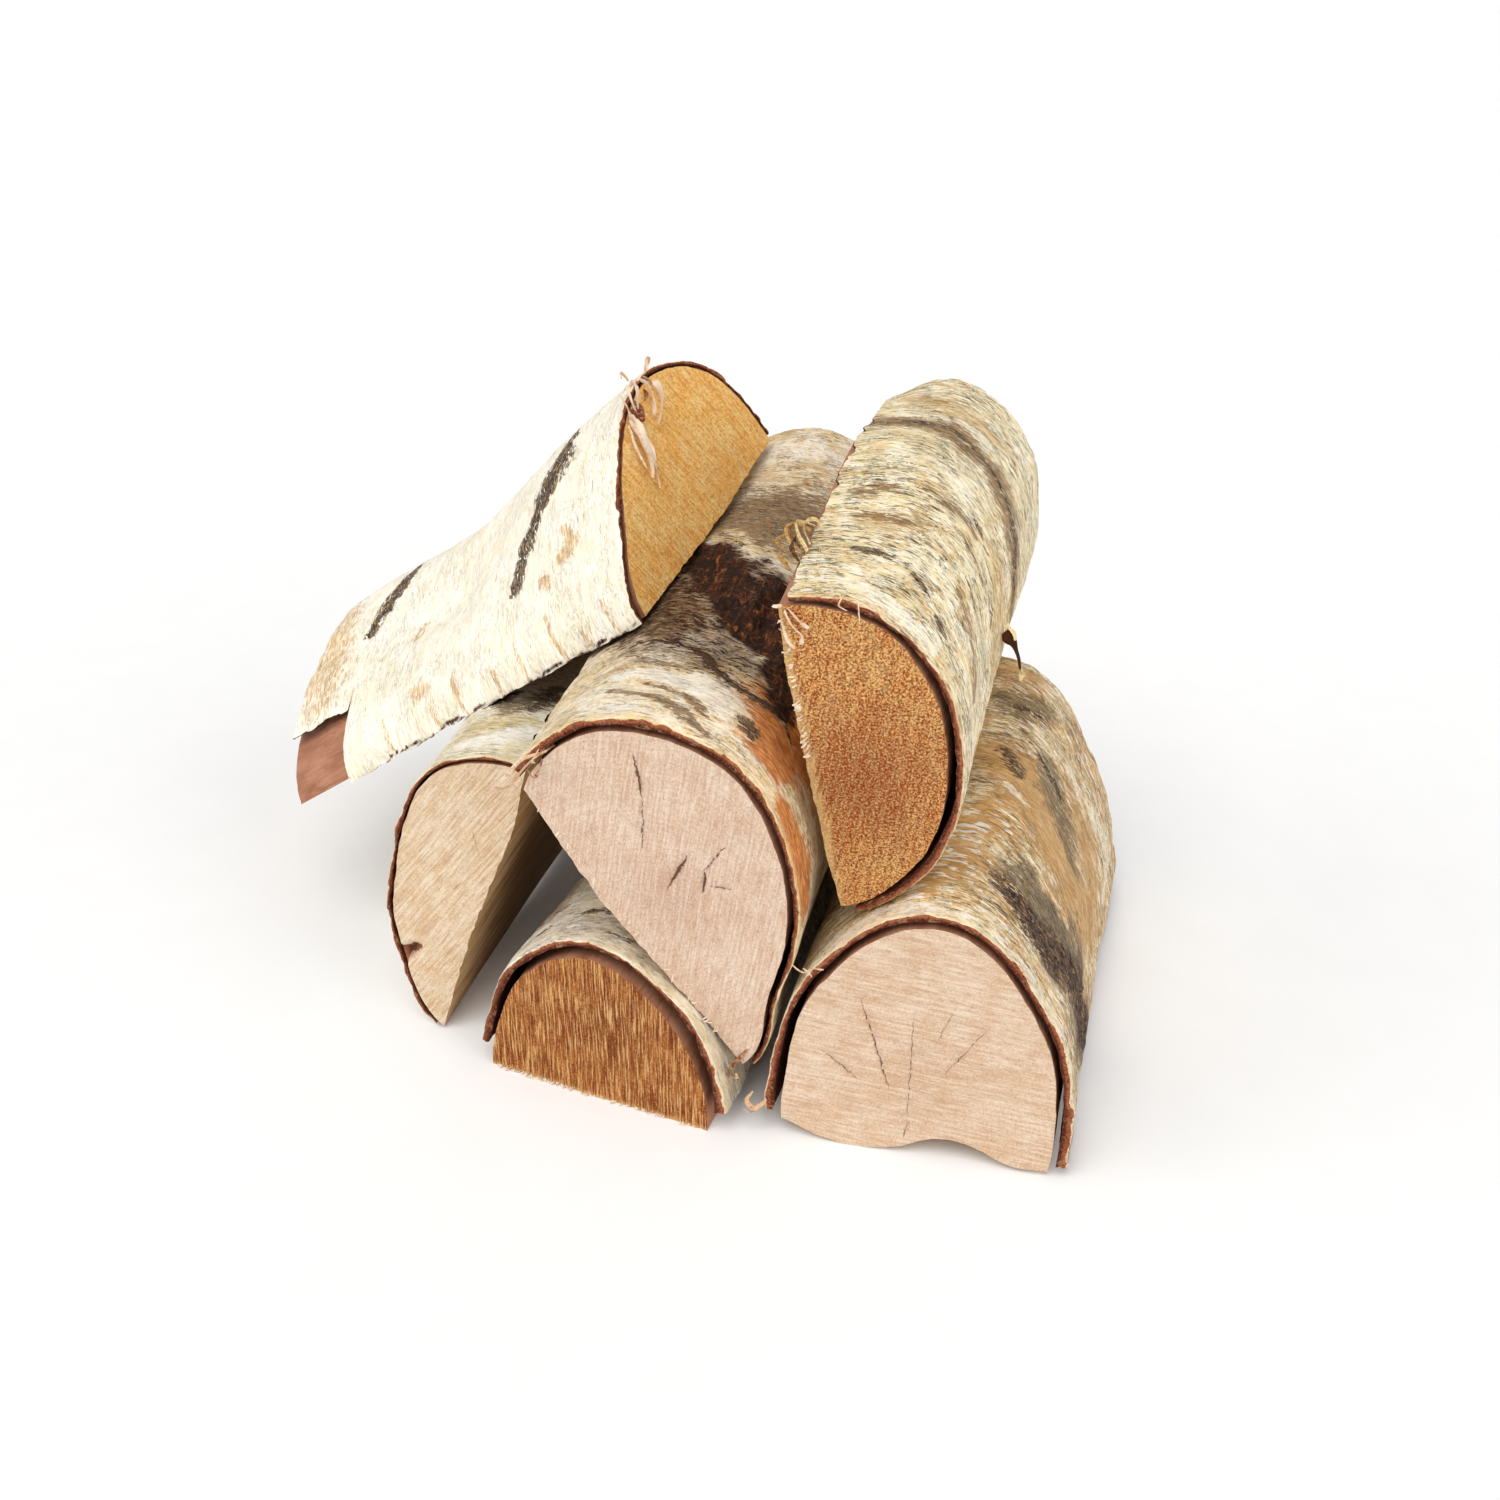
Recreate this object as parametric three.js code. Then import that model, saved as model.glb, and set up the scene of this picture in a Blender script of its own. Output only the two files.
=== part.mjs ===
// A stack of six split logs with loose bark. Millimetres and degrees, +Z up, +Y along the logs
// away from the sawn ends at the front. The base of the stack lies on z = 0.
import * as THREE from 'three';

// Facets of one log: round its bark side, across its split face and along its length.
const ARC_STEPS = 20;
const SPLIT_STEPS = 7;
const LENGTH_STEPS = 10;

// Clearance between bark and wood well inside the log, how far the wider gap at a sawn end reaches
// and the back end's share of it.
const GAP_INSIDE = 1.5;
const GAP_REACH = 40;
const BACK_GAP = 0.6;

// Gentle swells of the round side, two of them: radians per degree round it, radians along the whole length
// and strength.
const SWELLS = [[0.055, 5, 1], [-0.09, 11, 0.6]];

// A broken bark edge: the share of the length over which it steps back, how far the bark beside it lifts,
// and the length and angle over which the lift fades.
const BREAK_STEP = 0.006;
const BREAK_LIFT = 3;
const BREAK_REACH = 50;
const BREAK_TURN = 40;

// Middle of the stack's outline on the floor, brought to the origin.
const STACK_CENTRE = [-66, 134.5];

// Each log has its own axes: X across the split face, Z from the split face out to the bark side,
// Y along the length from the front end. `at` is the middle of the front edge of the split face.
// front and back: distance from the split face's middle out to the wood's round side, every 30 degrees
// from the +X edge over to the -X edge. hollow: the split face's height from the -X edge to the +X edge.
// slant: how much further back the front end's +X side is cut, per millimetre. backSlant: the same
// for the back end along X and Z. gap: the front gap under the bark, every 60 degrees.
// barkSpan: the angles the bark covers. bow: how far the middle of the length shifts along X and Z.
// ripple: height and phase of the swells. knots: angle, distance from the front, height, reach.
// breakFrom, breakSpan: beyond this distance from the front, bark is left only up to this angle.
const LOGS = [
  {
    name: 'bottom_middle', at: [-74, -3, 0], yaw: -3, pitch: 0, roll: 0, length: 245,
    front: [61, 65, 75, 85, 75, 63, 61], back: [60, 66, 80, 90, 80, 66, 60],
    hollow: [0, 0], backHollow: [0, 0], slant: -0.09, backSlant: [0, 0],
    gap: [4, 9, 5, 2], bark: 5, barkSpan: [9, 168], bow: [0, 0], ripple: [1.2, 0.4],
    knots: [], wood: 0xc98a4a, rind: 0xe6ded0,
  },
  {
    name: 'bottom_right', at: [87, -1, 6.6], yaw: 1.5, pitch: 0, roll: 3, length: 258,
    front: [65, 74, 99, 128, 101, 74, 65], back: [68, 72, 92, 130, 108, 76, 64],
    hollow: [0, -6, -8, -4, 6, 6, -1, 0], backHollow: [0, -4, -7, -5, 3, 4, -2, 0],
    slant: 0.02, backSlant: [0, 0], gap: [3, 4, 4.5, 4], bark: 5, barkSpan: [3, 177],
    bow: [0, 2], ripple: [1.5, 2.1], knots: [], wood: 0xe0bd92, rind: 0xc9b795,
  },
  {
    name: 'left', at: [-143, 26, 83], yaw: 0, pitch: 0, roll: -71, length: 250,
    front: [89, 80, 58, 48, 51, 61, 86], back: [86, 78, 58, 51, 53, 61, 86],
    hollow: [0, 1, 1, -1, -3, 0], backHollow: [0, -1, 1, 2, -1, 0], slant: 0, backSlant: [0, 0],
    gap: [1.5, 1.5, 1.5, 1.5], bark: 2.6, barkSpan: [3, 177], bow: [0, 1.5], ripple: [1.2, 4.0],
    knots: [], wood: 0xe8cfa2, rind: 0xdccfae,
  },
  {
    name: 'middle', at: [-50.6, -7, 113.2], yaw: -1, pitch: 5.5, roll: 56, length: 290,
    front: [93, 73, 75, 89, 110, 109, 88], back: [84, 64, 73, 96, 108, 104, 90],
    hollow: [0, -3, -5, -3, -1, 0], backHollow: [0, -2, -1, 2, 1, 0], slant: 0, backSlant: [0, 0],
    gap: [2, 3, 3.5, 2.5], bark: 4, barkSpan: [3, 178], bow: [0, 0], ripple: [1.2, 1.3],
    knots: [[131, 98, -6, 25], [140, 290, 9, 36]], wood: 0xe6c5a4, rind: 0xd8c6a4,
  },
  {
    name: 'top_right', at: [32, 4, 207], yaw: 2, pitch: 4, roll: 79.5, length: 252,
    front: [77, 68, 61, 60, 68, 78, 79], back: [79, 69, 64, 65, 73, 78, 68],
    hollow: [0, -2, -2, -2, -2, 0], backHollow: [0, 14, 22, 20, 11, 0], slant: 0, backSlant: [0, 0],
    gap: [1.4, 3.5, 4, 2.5], bark: 4, barkSpan: [5, 178], bow: [-3, 2], ripple: [1.5, 5.2],
    knots: [[178, 130, 10, 70]], wood: 0xcf9350, rind: 0xd3c6a2,
  },
  {
    name: 'top_left', at: [-61.5, 162.5, 246.8], yaw: 85.3, pitch: -35.7, roll: -7.6, length: 260,
    front: [87, 93, 83, 70, 63, 68, 88], back: [76, 72, 62, 54, 53, 63, 85],
    hollow: [0, -1, -2, -1, 0], backHollow: [0, 5, 6, 4, 0], slant: -0.094, backSlant: [-0.14, -0.25],
    gap: [1.5, 1.5, 1.5, 2.6], bark: 2.8, barkSpan: [2, 178.4], bow: [0, 0], ripple: [0.8, 0.9],
    knots: [[100, 158, -24, 66]], wood: 0xd49a4e, rind: 0xece5d6, breakFrom: 212, breakSpan: 157,
  },
];

// Catmull-Rom curve through evenly spaced values, read at u from 0 to 1.
function along(values, u) {
  const last = values.length - 1;
  const s = Math.min(Math.max(u, 0), 1) * last;
  const i = Math.min(Math.floor(s), last - 1);
  const f = s - i;
  const p0 = values[Math.max(i - 1, 0)];
  const p1 = values[i];
  const p2 = values[i + 1];
  const p3 = values[Math.min(i + 2, last)];
  return 0.5 * (2 * p1 + (p2 - p0) * f + (2 * p0 - 5 * p1 + 4 * p2 - p3) * f * f
    + (3 * p1 - p0 - 3 * p2 + p3) * f * f * f);
}

function blend(a, b, t) {
  return a * (1 - t) + b * t;
}

// Distance from the log's axis line to the wood's round side.
function woodRadius(log, angle, t) {
  const u = angle / 180;
  let r = blend(along(log.front, u), along(log.back, u), t);
  const [size, phase] = log.ripple;
  SWELLS.forEach(([round, down, strength], i) => {
    const wave = Math.sin(angle * round + t * down + phase * (i + 1));
    r += size * strength * wave * Math.sin(Math.PI * t);
  });
  for (const [at, from, height, reach] of log.knots) {
    const across = (angle - at) * Math.PI / 180 * r;
    const down = t * log.length - from;
    r += height * Math.exp(-(across * across + down * down) / (reach * reach));
  }
  return r;
}

function barkGap(log, angle, t) {
  const fromFront = t * log.length / GAP_REACH;
  const fromBack = (1 - t) * log.length / GAP_REACH;
  const open = Math.exp(-fromFront * fromFront) + BACK_GAP * Math.exp(-fromBack * fromBack);
  return GAP_INSIDE + (along(log.gap, angle / 180) - GAP_INSIDE) * open;
}

// How far the bark stands off beside its broken corner.
function flapLift(log, angle, t) {
  if (!log.breakFrom) {
    return 0;
  }
  const down = THREE.MathUtils.clamp(1 + (t * log.length - log.breakFrom) / BREAK_REACH, 0, 1);
  const round = THREE.MathUtils.clamp(1 + (angle - log.breakSpan) / BREAK_TURN, 0, 1);
  return BREAK_LIFT * down * round;
}

// A point of the log's section at x, z, moved to its place along the length.
function stationPoint(log, x, z, t) {
  const sag = Math.sin(Math.PI * t);
  const frontCut = log.slant * x;
  const backCut = log.backSlant[0] * x + log.backSlant[1] * z;
  const y = t * log.length + blend(frontCut, backCut, t);
  return new THREE.Vector3(x + log.bow[0] * sag, y, z + log.bow[1] * sag);
}

function polar(log, radius, angle, t) {
  const a = angle * Math.PI / 180;
  return stationPoint(log, radius * Math.cos(a), radius * Math.sin(a), t);
}

function woodRing(log, t) {
  const ring = [];
  for (let i = 0; i <= ARC_STEPS; i++) {
    const angle = 180 * i / ARC_STEPS;
    ring.push(polar(log, woodRadius(log, angle, t), angle, t));
  }
  const left = -woodRadius(log, 180, t);
  const right = woodRadius(log, 0, t);
  for (let i = 1; i < SPLIT_STEPS; i++) {
    const u = i / SPLIT_STEPS;
    const z = blend(along(log.hollow, u), along(log.backHollow, u), t);
    ring.push(stationPoint(log, blend(left, right, u), z, t));
  }
  return ring;
}

// The bark's outer line forward, then its inner line back.
function barkRing(log, t) {
  const outer = [];
  const inner = [];
  const [low, whole] = log.barkSpan;
  const pastBreak = t * log.length - log.breakFrom;
  const high = pastBreak > 0.1 ? log.breakSpan : whole;
  for (let i = 0; i <= ARC_STEPS; i++) {
    const angle = blend(low, high, i / ARC_STEPS);
    const under = woodRadius(log, angle, t) + barkGap(log, angle, t) + flapLift(log, angle, t);
    outer.push(polar(log, under + log.bark, angle, t));
    inner.unshift(polar(log, under, angle, t));
  }
  return outer.concat(inner);
}

// Joins equal rings into one closed body; closeEnds adds the triangles of the two end faces.
function loft(rings, closeEnds) {
  const n = rings[0].length;
  const points = rings.flat();
  const triangles = [];
  for (let k = 0; k < rings.length - 1; k++) {
    for (let i = 0; i < n; i++) {
      const a = k * n + i;
      const b = k * n + (i + 1) % n;
      triangles.push(a, a + n, b, b, a + n, b + n);
    }
  }
  closeEnds(points, triangles, n, (rings.length - 1) * n);
  const geometry = new THREE.BufferGeometry();
  geometry.setAttribute('position', new THREE.Float32BufferAttribute(points.flatMap((p) => p.toArray()), 3));
  geometry.setIndex(triangles);
  geometry.computeVertexNormals();
  return geometry;
}

// A flat end: a fan about the middle of the ring.
function fanEnds(points, triangles, n, backStart) {
  for (const start of [0, backStart]) {
    const middle = new THREE.Vector3();
    for (let i = 0; i < n; i++) {
      middle.addScaledVector(points[start + i], 1 / n);
    }
    const m = points.push(middle) - 1;
    for (let i = 0; i < n; i++) {
      const a = start + i;
      const b = start + (i + 1) % n;
      triangles.push(m, ...(start === 0 ? [a, b] : [b, a]));
    }
  }
}

// The end of a bent strip: quads between its outer and inner lines.
function stripEnds(points, triangles, n, backStart) {
  for (let i = 0; i < n / 2 - 1; i++) {
    const a = i;
    const b = i + 1;
    const c = n - 1 - i;
    const d = n - 2 - i;
    triangles.push(a, b, c, b, d, c);
    triangles.push(backStart + a, backStart + c, backStart + b, backStart + b, backStart + c, backStart + d);
  }
}

// Even stations along the log, with a close pair where the bark is broken off.
function rings(log, makeRing) {
  const stations = Array.from({ length: LENGTH_STEPS + 1 }, (unused, k) => k / LENGTH_STEPS);
  if (log.breakFrom) {
    const edge = log.breakFrom / log.length;
    stations.splice(Math.ceil(edge * LENGTH_STEPS), 0, edge, edge + BREAK_STEP);
  }
  return stations.map((t) => makeRing(log, t));
}

function solid(name, geometry, colour, roughness) {
  const material = new THREE.MeshStandardMaterial({ color: colour, roughness, metalness: 0 });
  const mesh = new THREE.Mesh(geometry, material);
  mesh.name = name;
  return mesh;
}

function splitLog(log) {
  const group = new THREE.Group();
  group.name = `${log.name}_log`;
  group.add(solid(`${log.name}_log_wood`, loft(rings(log, woodRing), fanEnds), log.wood, 0.85));
  group.add(solid(`${log.name}_log_bark`, loft(rings(log, barkRing), stripEnds), log.rind, 0.75));
  const turn = [log.pitch, log.roll, log.yaw].map(THREE.MathUtils.degToRad);
  group.rotation.set(...turn, 'ZXY');
  group.position.set(...log.at);
  return group;
}

const stack = new THREE.Group();
stack.name = 'firewood_stack';
for (const log of LOGS) {
  stack.add(splitLog(log));
}
stack.position.set(-STACK_CENTRE[0], -STACK_CENTRE[1], 0);

export default stack;
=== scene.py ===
import math
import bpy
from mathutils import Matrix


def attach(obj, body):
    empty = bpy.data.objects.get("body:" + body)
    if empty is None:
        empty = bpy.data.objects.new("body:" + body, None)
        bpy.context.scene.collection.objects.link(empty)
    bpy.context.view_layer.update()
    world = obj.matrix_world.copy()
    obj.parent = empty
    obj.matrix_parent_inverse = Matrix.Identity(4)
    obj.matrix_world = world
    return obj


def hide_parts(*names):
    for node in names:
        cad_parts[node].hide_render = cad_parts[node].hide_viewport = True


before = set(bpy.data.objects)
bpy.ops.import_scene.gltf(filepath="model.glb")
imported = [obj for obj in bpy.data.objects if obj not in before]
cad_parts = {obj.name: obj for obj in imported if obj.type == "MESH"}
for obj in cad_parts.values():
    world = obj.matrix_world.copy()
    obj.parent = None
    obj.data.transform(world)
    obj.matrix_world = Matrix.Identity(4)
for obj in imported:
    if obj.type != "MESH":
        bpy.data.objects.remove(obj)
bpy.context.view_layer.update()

from types import SimpleNamespace

import bpy
import numpy as np
from mathutils import Vector

# Lengths of the logs are in millimetres, as on the drawing. MM turns them into metres.
MM = 0.001
STACK_CENTRE = (-66, 134.5)

# Clearance between bark and wood well inside the log, its reach at a sawn end and the back end's share.
GAP_INSIDE = 1.5
GAP_REACH = 40
BACK_GAP = 0.6

# Gentle swells of the round side: radians per degree round it, radians along its length, strength.
SWELLS = [(0.055, 5, 1), (-0.09, 11, 0.6)]

# How far the bark lifts beside a broken corner, and the length and angle over which the lift fades.
BREAK_LIFT = 3
BREAK_REACH = 50
BREAK_TURN = 40

# Each log has its own axes: X across the split face, Z from the split face out to the bark side,
# Y along the length from the front end. The sizes are those of the frame's solids. Below them are the
# log's seed, the spacing of its bark and wood points, and how rough the saw and the split left it.
USUAL = dict(yaw=0, pitch=0, slant=0, back_slant=(0, 0), hollow=[0, 0], back_hollow=[0, 0], bow=(0, 0),
             knots=[], saw_rough=1.0, fibre=1.0, tear=1.6, worn_corner=0, break_from=None)


def split_log(**values):
    """A log's own values over the usual ones."""
    return SimpleNamespace(**{**USUAL, **values})


LOGS = [
    split_log(
        name="bottom_middle", at=(-74, -3, 0), yaw=-3, roll=0, length=245, slant=-0.09,
        front=[61, 65, 75, 85, 75, 63, 61], back=[60, 66, 80, 90, 80, 66, 60], ripple=(1.2, 0.4),
        gap=[4, 9, 5, 2], bark=5, bark_span=(9, 168), thick=[1.2, 0.8, 0.65, 0.75, 0.9],
        seed=11, grid=1.45, wood_grid=1.7, saw_rough=2.6, fibre=0.6,
    ),
    split_log(
        name="bottom_right", at=(87, -1, 6.6), yaw=1.5, roll=3, length=258, slant=0.02, bow=(0, 2),
        front=[65, 74, 99, 128, 101, 74, 65], back=[68, 72, 92, 130, 108, 76, 64], ripple=(1.5, 2.1),
        hollow=[0, -6, -8, -4, 6, 6, -1, 0], back_hollow=[0, -4, -7, -5, 3, 4, -2, 0],
        gap=[3, 4, 4.5, 4], bark=5, bark_span=(3, 177), thick=[1.1, 0.95, 0.75, 0.75, 0.85, 0.85],
        seed=23, grid=1.45, wood_grid=1.8, fibre=0.6,
    ),
    split_log(
        name="left", at=(-143, 26, 83), roll=-71, length=250, bow=(0, 1.5),
        front=[89, 80, 58, 48, 51, 61, 86], back=[86, 78, 58, 51, 53, 61, 86], ripple=(1.2, 4.0),
        hollow=[0, 1, 1, -1, -3, 0], back_hollow=[0, -1, 1, 2, -1, 0],
        gap=[1.5, 1.5, 1.5, 1.5], bark=2.6, bark_span=(3, 177), thick=[0.8, 0.9, 1, 1, 1],
        seed=37, grid=1.8, wood_grid=1.7,
    ),
    split_log(
        name="middle", at=(-50.6, -7, 113.2), yaw=-1, pitch=5.5, roll=56, length=290,
        front=[93, 73, 75, 89, 110, 109, 88], back=[84, 64, 73, 96, 108, 104, 90], ripple=(1.2, 1.3),
        hollow=[0, -3, -5, -3, -1, 0], back_hollow=[0, -2, -1, 2, 1, 0],
        gap=[2, 3, 3.5, 2.5], bark=4, bark_span=(3, 178), thick=[0.55, 0.55, 0.7, 0.85, 1.1, 1.25],
        knots=[(131, 98, -6, 25), (140, 290, 9, 36)],
        seed=41, grid=1.4, wood_grid=1.7, worn_corner=3.5,
    ),
    split_log(
        name="top_right", at=(32, 4, 207), yaw=2, pitch=4, roll=79.5, length=252, bow=(-3, 2),
        front=[77, 68, 61, 60, 68, 78, 79], back=[79, 69, 64, 65, 73, 78, 68], ripple=(1.5, 5.2),
        hollow=[0, -2, -2, -2, -2, 0], back_hollow=[0, 14, 22, 20, 11, 0],
        gap=[1.4, 3.5, 4, 2.5], bark=4, bark_span=(5, 178), thick=[1.0, 1.0, 0.8, 0.7, 0.6],
        knots=[(178, 130, 10, 70), (184, 262, -12, 20)],
        seed=59, grid=1.3, wood_grid=1.6, saw_rough=2.0,
    ),
    split_log(
        name="top_left", at=(-61.5, 162.5, 246.8), yaw=85.3, pitch=-35.7, roll=-7.6, length=260,
        front=[87, 93, 83, 70, 63, 68, 88], back=[76, 72, 62, 54, 53, 63, 85], ripple=(0.8, 0.9),
        hollow=[0, -1, -2, -1, 0], back_hollow=[0, 5, 6, 4, 0], slant=-0.094, back_slant=(-0.14, -0.25),
        gap=[1.5, 1.5, 1.5, 2.6], bark=2.8, bark_span=(2, 180.6), thick=[0.9, 0.85, 0.9, 1.0, 1.0],
        knots=[(100, 158, -24, 66)], break_from=212, break_span=157,
        seed=67, grid=1.3, wood_grid=1.6, saw_rough=1.7, tear=0.8,
    ),
]

# Marks on the bark by kind: half width, strength and the line as (angle, distance from the front).
MARKS = {
    "top_left": dict(
        scar=[(8.5, 0.95, [(80, 42), (94, 46), (104, 55), (112, 58)]),
              (5.5, 0.85, [(110, 58), (123, 65), (134, 77), (147, 83)]),
              (4.4, 0.9, [(55, 197), (63, 199), (78, 203), (97, 209), (110, 213)])],
        stain=[(4.5, 0.85, [(135, 42), (144, 38), (146, 47)]), (3.5, 0.8, [(151, 60), (155, 57)]),
               (4.5, 0.6, [(164, 165), (166, 156)]), (20, 0.6, [(76, 242), (112, 246), (146, 240)]),
               (5, 0.5, [(130, 179), (115, 177)]), (0.9, 1.0, [(180, 22), (168, 25)]),
               (0.8, 1.0, [(180, 42), (173, 44)]), (1.0, 1.0, [(180, 58), (164, 62)]),
               (0.8, 1.0, [(180, 84), (171, 87)]), (0.9, 1.0, [(180, 104), (170, 106)]),
               (1.0, 1.0, [(180, 131), (166, 134)]), (0.8, 1.0, [(180, 152), (172, 154)]),
               (0.9, 1.0, [(180, 186), (168, 190)])],
        torn=[(0.8, 0.8, [(180.6, 10), (180, 60), (180.6, 110), (180, 160), (180.6, 206)])],
    ),
    "top_right": dict(
        grey=[(12, 0.9, [(184, 178), (161, 176), (150, 180), (139, 172), (126, 166), (118, 153),
                        (107, 141), (90, 132), (80, 128)]),
              (5, 0.6, [(170, 92), (160, 96)]), (6, 0.6, [(128, 58), (112, 46), (98, 36)]),
              (4, 0.7, [(168, 70), (150, 74)]), (5, 0.6, [(150, 104), (132, 100)])],
        scar=[(3.0, 0.66, [(164, 178), (150, 181), (139, 174), (126, 168), (118, 155)]),
              (4.0, 0.75, [(118, 155), (107, 143), (94, 133)]), (2.2, 0.7, [(162, 43), (153, 43)]),
              (2.6, 0.72, [(146, 40), (139, 33)]), (2.4, 0.7, [(134, 26), (127, 22)]),
              (2.2, 0.7, [(134, 113), (128, 107)]), (1.6, 0.65, [(128, 70), (118, 64)]),
              (1.6, 0.65, [(112, 92), (104, 84)])],
        stain=[(9, 0.6, [(165, 66), (150, 72)]), (12, 0.65, [(165, 216), (136, 206)]),
               (10, 0.6, [(118, 112), (104, 100), (92, 90)]), (14, 0.6, [(100, 150), (88, 120), (84, 90)])],
        white=[(5, 0.6, [(152, 128), (138, 122)]), (6, 0.6, [(146, 196), (130, 186)]),
               (4, 0.7, [(168, 14), (148, 12), (130, 8)])],
    ),
    "middle": dict(
        torn=[(15, 1.0, [(151, 160), (144, 142), (137, 118), (131, 100)]),
              # The wide half-strength torn mark is painted shade: dark brown round the hollow, where the two
              # top logs shade this log.
              (34, 0.5, [(158, 158), (152, 124), (143, 92), (130, 72)]),
              (15, 1.0, [(128, 138), (127, 112), (124, 92)]), (8, 0.95, [(121, 86), (117, 66), (114, 54)])],
        # The first two grey marks are partly grey-brown bark and partly painted shade, where the top left log
        # shades this log.
        grey=[(20, 0.95, [(166, 150), (159, 108), (150, 82)]),
              (26, 1.1, [(156, 192), (136, 202), (118, 204)]),
              (8, 0.6, [(156, 68), (146, 62), (136, 58), (130, 50)]),
              (2.2, 0.9, [(143, 30), (134, 28), (129, 17)]),
              (2.0, 0.85, [(150, 24), (141, 20), (132, 12), (126, 6)]),
              (3, 0.7, [(150, 52), (141, 50), (136, 46)])],
        stain=[(19, 1.2, [(112, 24), (106, 60), (102, 112), (100, 150)]),
               (11, 1.1, [(101, 8), (88, 8), (70, 12)])],
        scar=[(1.8, 1.0, [(154, 72), (148, 71), (138, 68), (128, 50), (122, 46), (114, 49), (108, 43)]),
              (4.4, 0.85, [(121, 29), (118, 22)])],
        white=[(5.0, 1.1, [(152, 36), (143, 40), (133, 36), (126, 26)]), (7, 0.8, [(133, 46), (127, 35)]),
               (9, 0.8, [(150, 66), (144, 60), (140, 56)]), (4, 0.7, [(156, 12), (146, 8), (134, 5)]),
               (10, 0.6, [(158, 268), (130, 268)])],
    ),
    "left": dict(
        grey=[(8, 0.9, [(8, 76), (12, 62), (16, 52), (24, 60)])],
        scar=[(5, 0.85, [(9, 66), (13, 50)]), (3, 0.8, [(20, 68), (26, 56)])],
        white=[(6, 1.0, [(26, 14), (14, 18), (8, 30)])],
        stain=[(7, 0.7, [(30, 26), (10, 40)])],
    ),
    "bottom_middle": dict(
        scar=[(1.6, 0.75, [(88, 10), (76, 14)]), (2, 0.75, [(100, 30), (84, 34)]),
              (1.4, 0.7, [(120, 22), (112, 24)])],
        grey=[(3, 0.7, [(56, 20), (50, 60)]), (4, 0.6, [(130, 40), (112, 44)])],
        stain=[(8, 0.7, [(140, 60), (120, 50)])],
    ),
    "bottom_right": dict(
        white=[(4.5, 0.95, [(172, 5), (110, 5), (84, 5)]), (3.5, 0.8, [(78, 4), (50, 4), (30, 4)]),
               (5, 0.6, [(66, 205), (58, 190)]), (4, 0.6, [(92, 58), (82, 68)]),
               (12, 0.7, [(52, 206), (40, 214), (30, 222), (26, 190)]), (3.4, 0.7, [(86, 124), (80, 118)])],
        peel=[(9, 1.0, [(96, 20), (93, 44), (89, 80), (87, 100)])],
        scar=[(13, 1.05, [(76, 44), (66, 42), (55, 48), (44, 56)]),
              (15, 1.2, [(52, 54), (40, 64), (28, 76), (14, 90)]), (3, 0.75, [(78, 176), (70, 168)]),
              (2.4, 0.75, [(86, 206), (80, 214)]), (3.4, 0.62, [(86, 160), (82, 140)])],
        grey=[(26, 1.2, [(68, 60), (50, 58), (32, 72), (12, 92)]),
              (10, 0.75, [(75, 180), (70, 150), (62, 130)]), (8, 0.7, [(88, 200), (80, 225)])],
        stain=[(26, 1.0, [(84, 150), (72, 124), (56, 110), (44, 130)]),
               (16, 0.7, [(60, 190), (52, 168), (44, 150)]), (11, 0.6, [(96, 240), (84, 244)])],
    ),
}
MARK_KINDS = ["scar", "grey", "stain", "white", "torn", "peel"]

# Cracks of the sawn ends: (x, z) to (x, z) and the full width in millimetres.
CRACKS = {
    "middle": [((-79, 62), (-57, 51), 1.2), ((-57, 51), (-34, 33), 0.9), ((-23, 52), (-11, 31), 1.5),
               ((-20, 72), (-12, 52), 0.8), ((-12, 54), (-2, 45), 1.4), ((2, 60), (-4, 50), 0.7)],
    "bottom_right": [((-33, 83), (-14, 31), 0.9), ((-49, 48), (-28, 33), 0.7), ((-7, 82), (-4, 10), 0.5),
                     ((28, 78), (8, 42), 0.5), ((12, 88), (4, 60), 0.4), ((-3, 14), (-5, 3), 0.8)],
    "left": [((44, 17), (30, 9), 0.4), ((10, 14), (2, 17), 0.5), ((-60, 37), (-41, 24), 5.0)],
}


def colour(code):
    """An 0xRRGGBB code as linear RGBA."""
    parts = [(code >> shift & 255) / 255 for shift in (16, 8, 0)]
    return tuple(c / 12.92 if c <= 0.04045 else ((c + 0.055) / 1.055) ** 2.4 for c in parts) + (1,)


# Smooth random fields, the same on every run

def lattice(cell, seed):
    h = cell[..., 0] * 73856093 ^ cell[..., 1] * 19349663 ^ cell[..., 2] * 83492791 ^ seed * 40503
    h = (h ^ h >> 13) * 1274126177 & 0x7FFFFFFF
    h ^= h >> 16
    return (h & 0xFFFF) / 32767.5 - 1


def noise(points, scale, seed):
    """Values from -1 to 1 over points (..., 3), with features of the size given for each axis."""
    p = points / np.asarray(scale, float)
    cell = np.floor(p).astype(np.int64)
    f = p - cell
    f = f * f * (3 - 2 * f)
    total = 0
    for corner in np.ndindex(2, 2, 2):
        weight = np.prod(np.where(np.array(corner) == 1, f, 1 - f), axis=-1)
        total = total + weight * lattice(cell + np.array(corner), seed)
    return total


def layered_noise(points, scale, seed, layers=3):
    scale = np.asarray(scale, float)
    return sum(noise(points, scale / 2 ** k, seed + k) / 2 ** k for k in range(layers))


# Shape of a log, in its own axes

def along(values, u):
    """Catmull-Rom curve through evenly spaced values, read at u from 0 to 1."""
    v = np.asarray(values, float)
    last = len(v) - 1
    s = np.clip(u, 0, 1) * last
    i = np.minimum(np.floor(s), last - 1).astype(int)
    f = s - i
    p0, p1, p2, p3 = v[np.maximum(i - 1, 0)], v[i], v[i + 1], v[np.minimum(i + 2, last)]
    return 0.5 * (2 * p1 + (p2 - p0) * f + (2 * p0 - 5 * p1 + 4 * p2 - p3) * f ** 2
                  + (3 * p1 - p0 - 3 * p2 + p3) * f ** 3)


def blend(a, b, t):
    return a * (1 - t) + b * t


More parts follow.
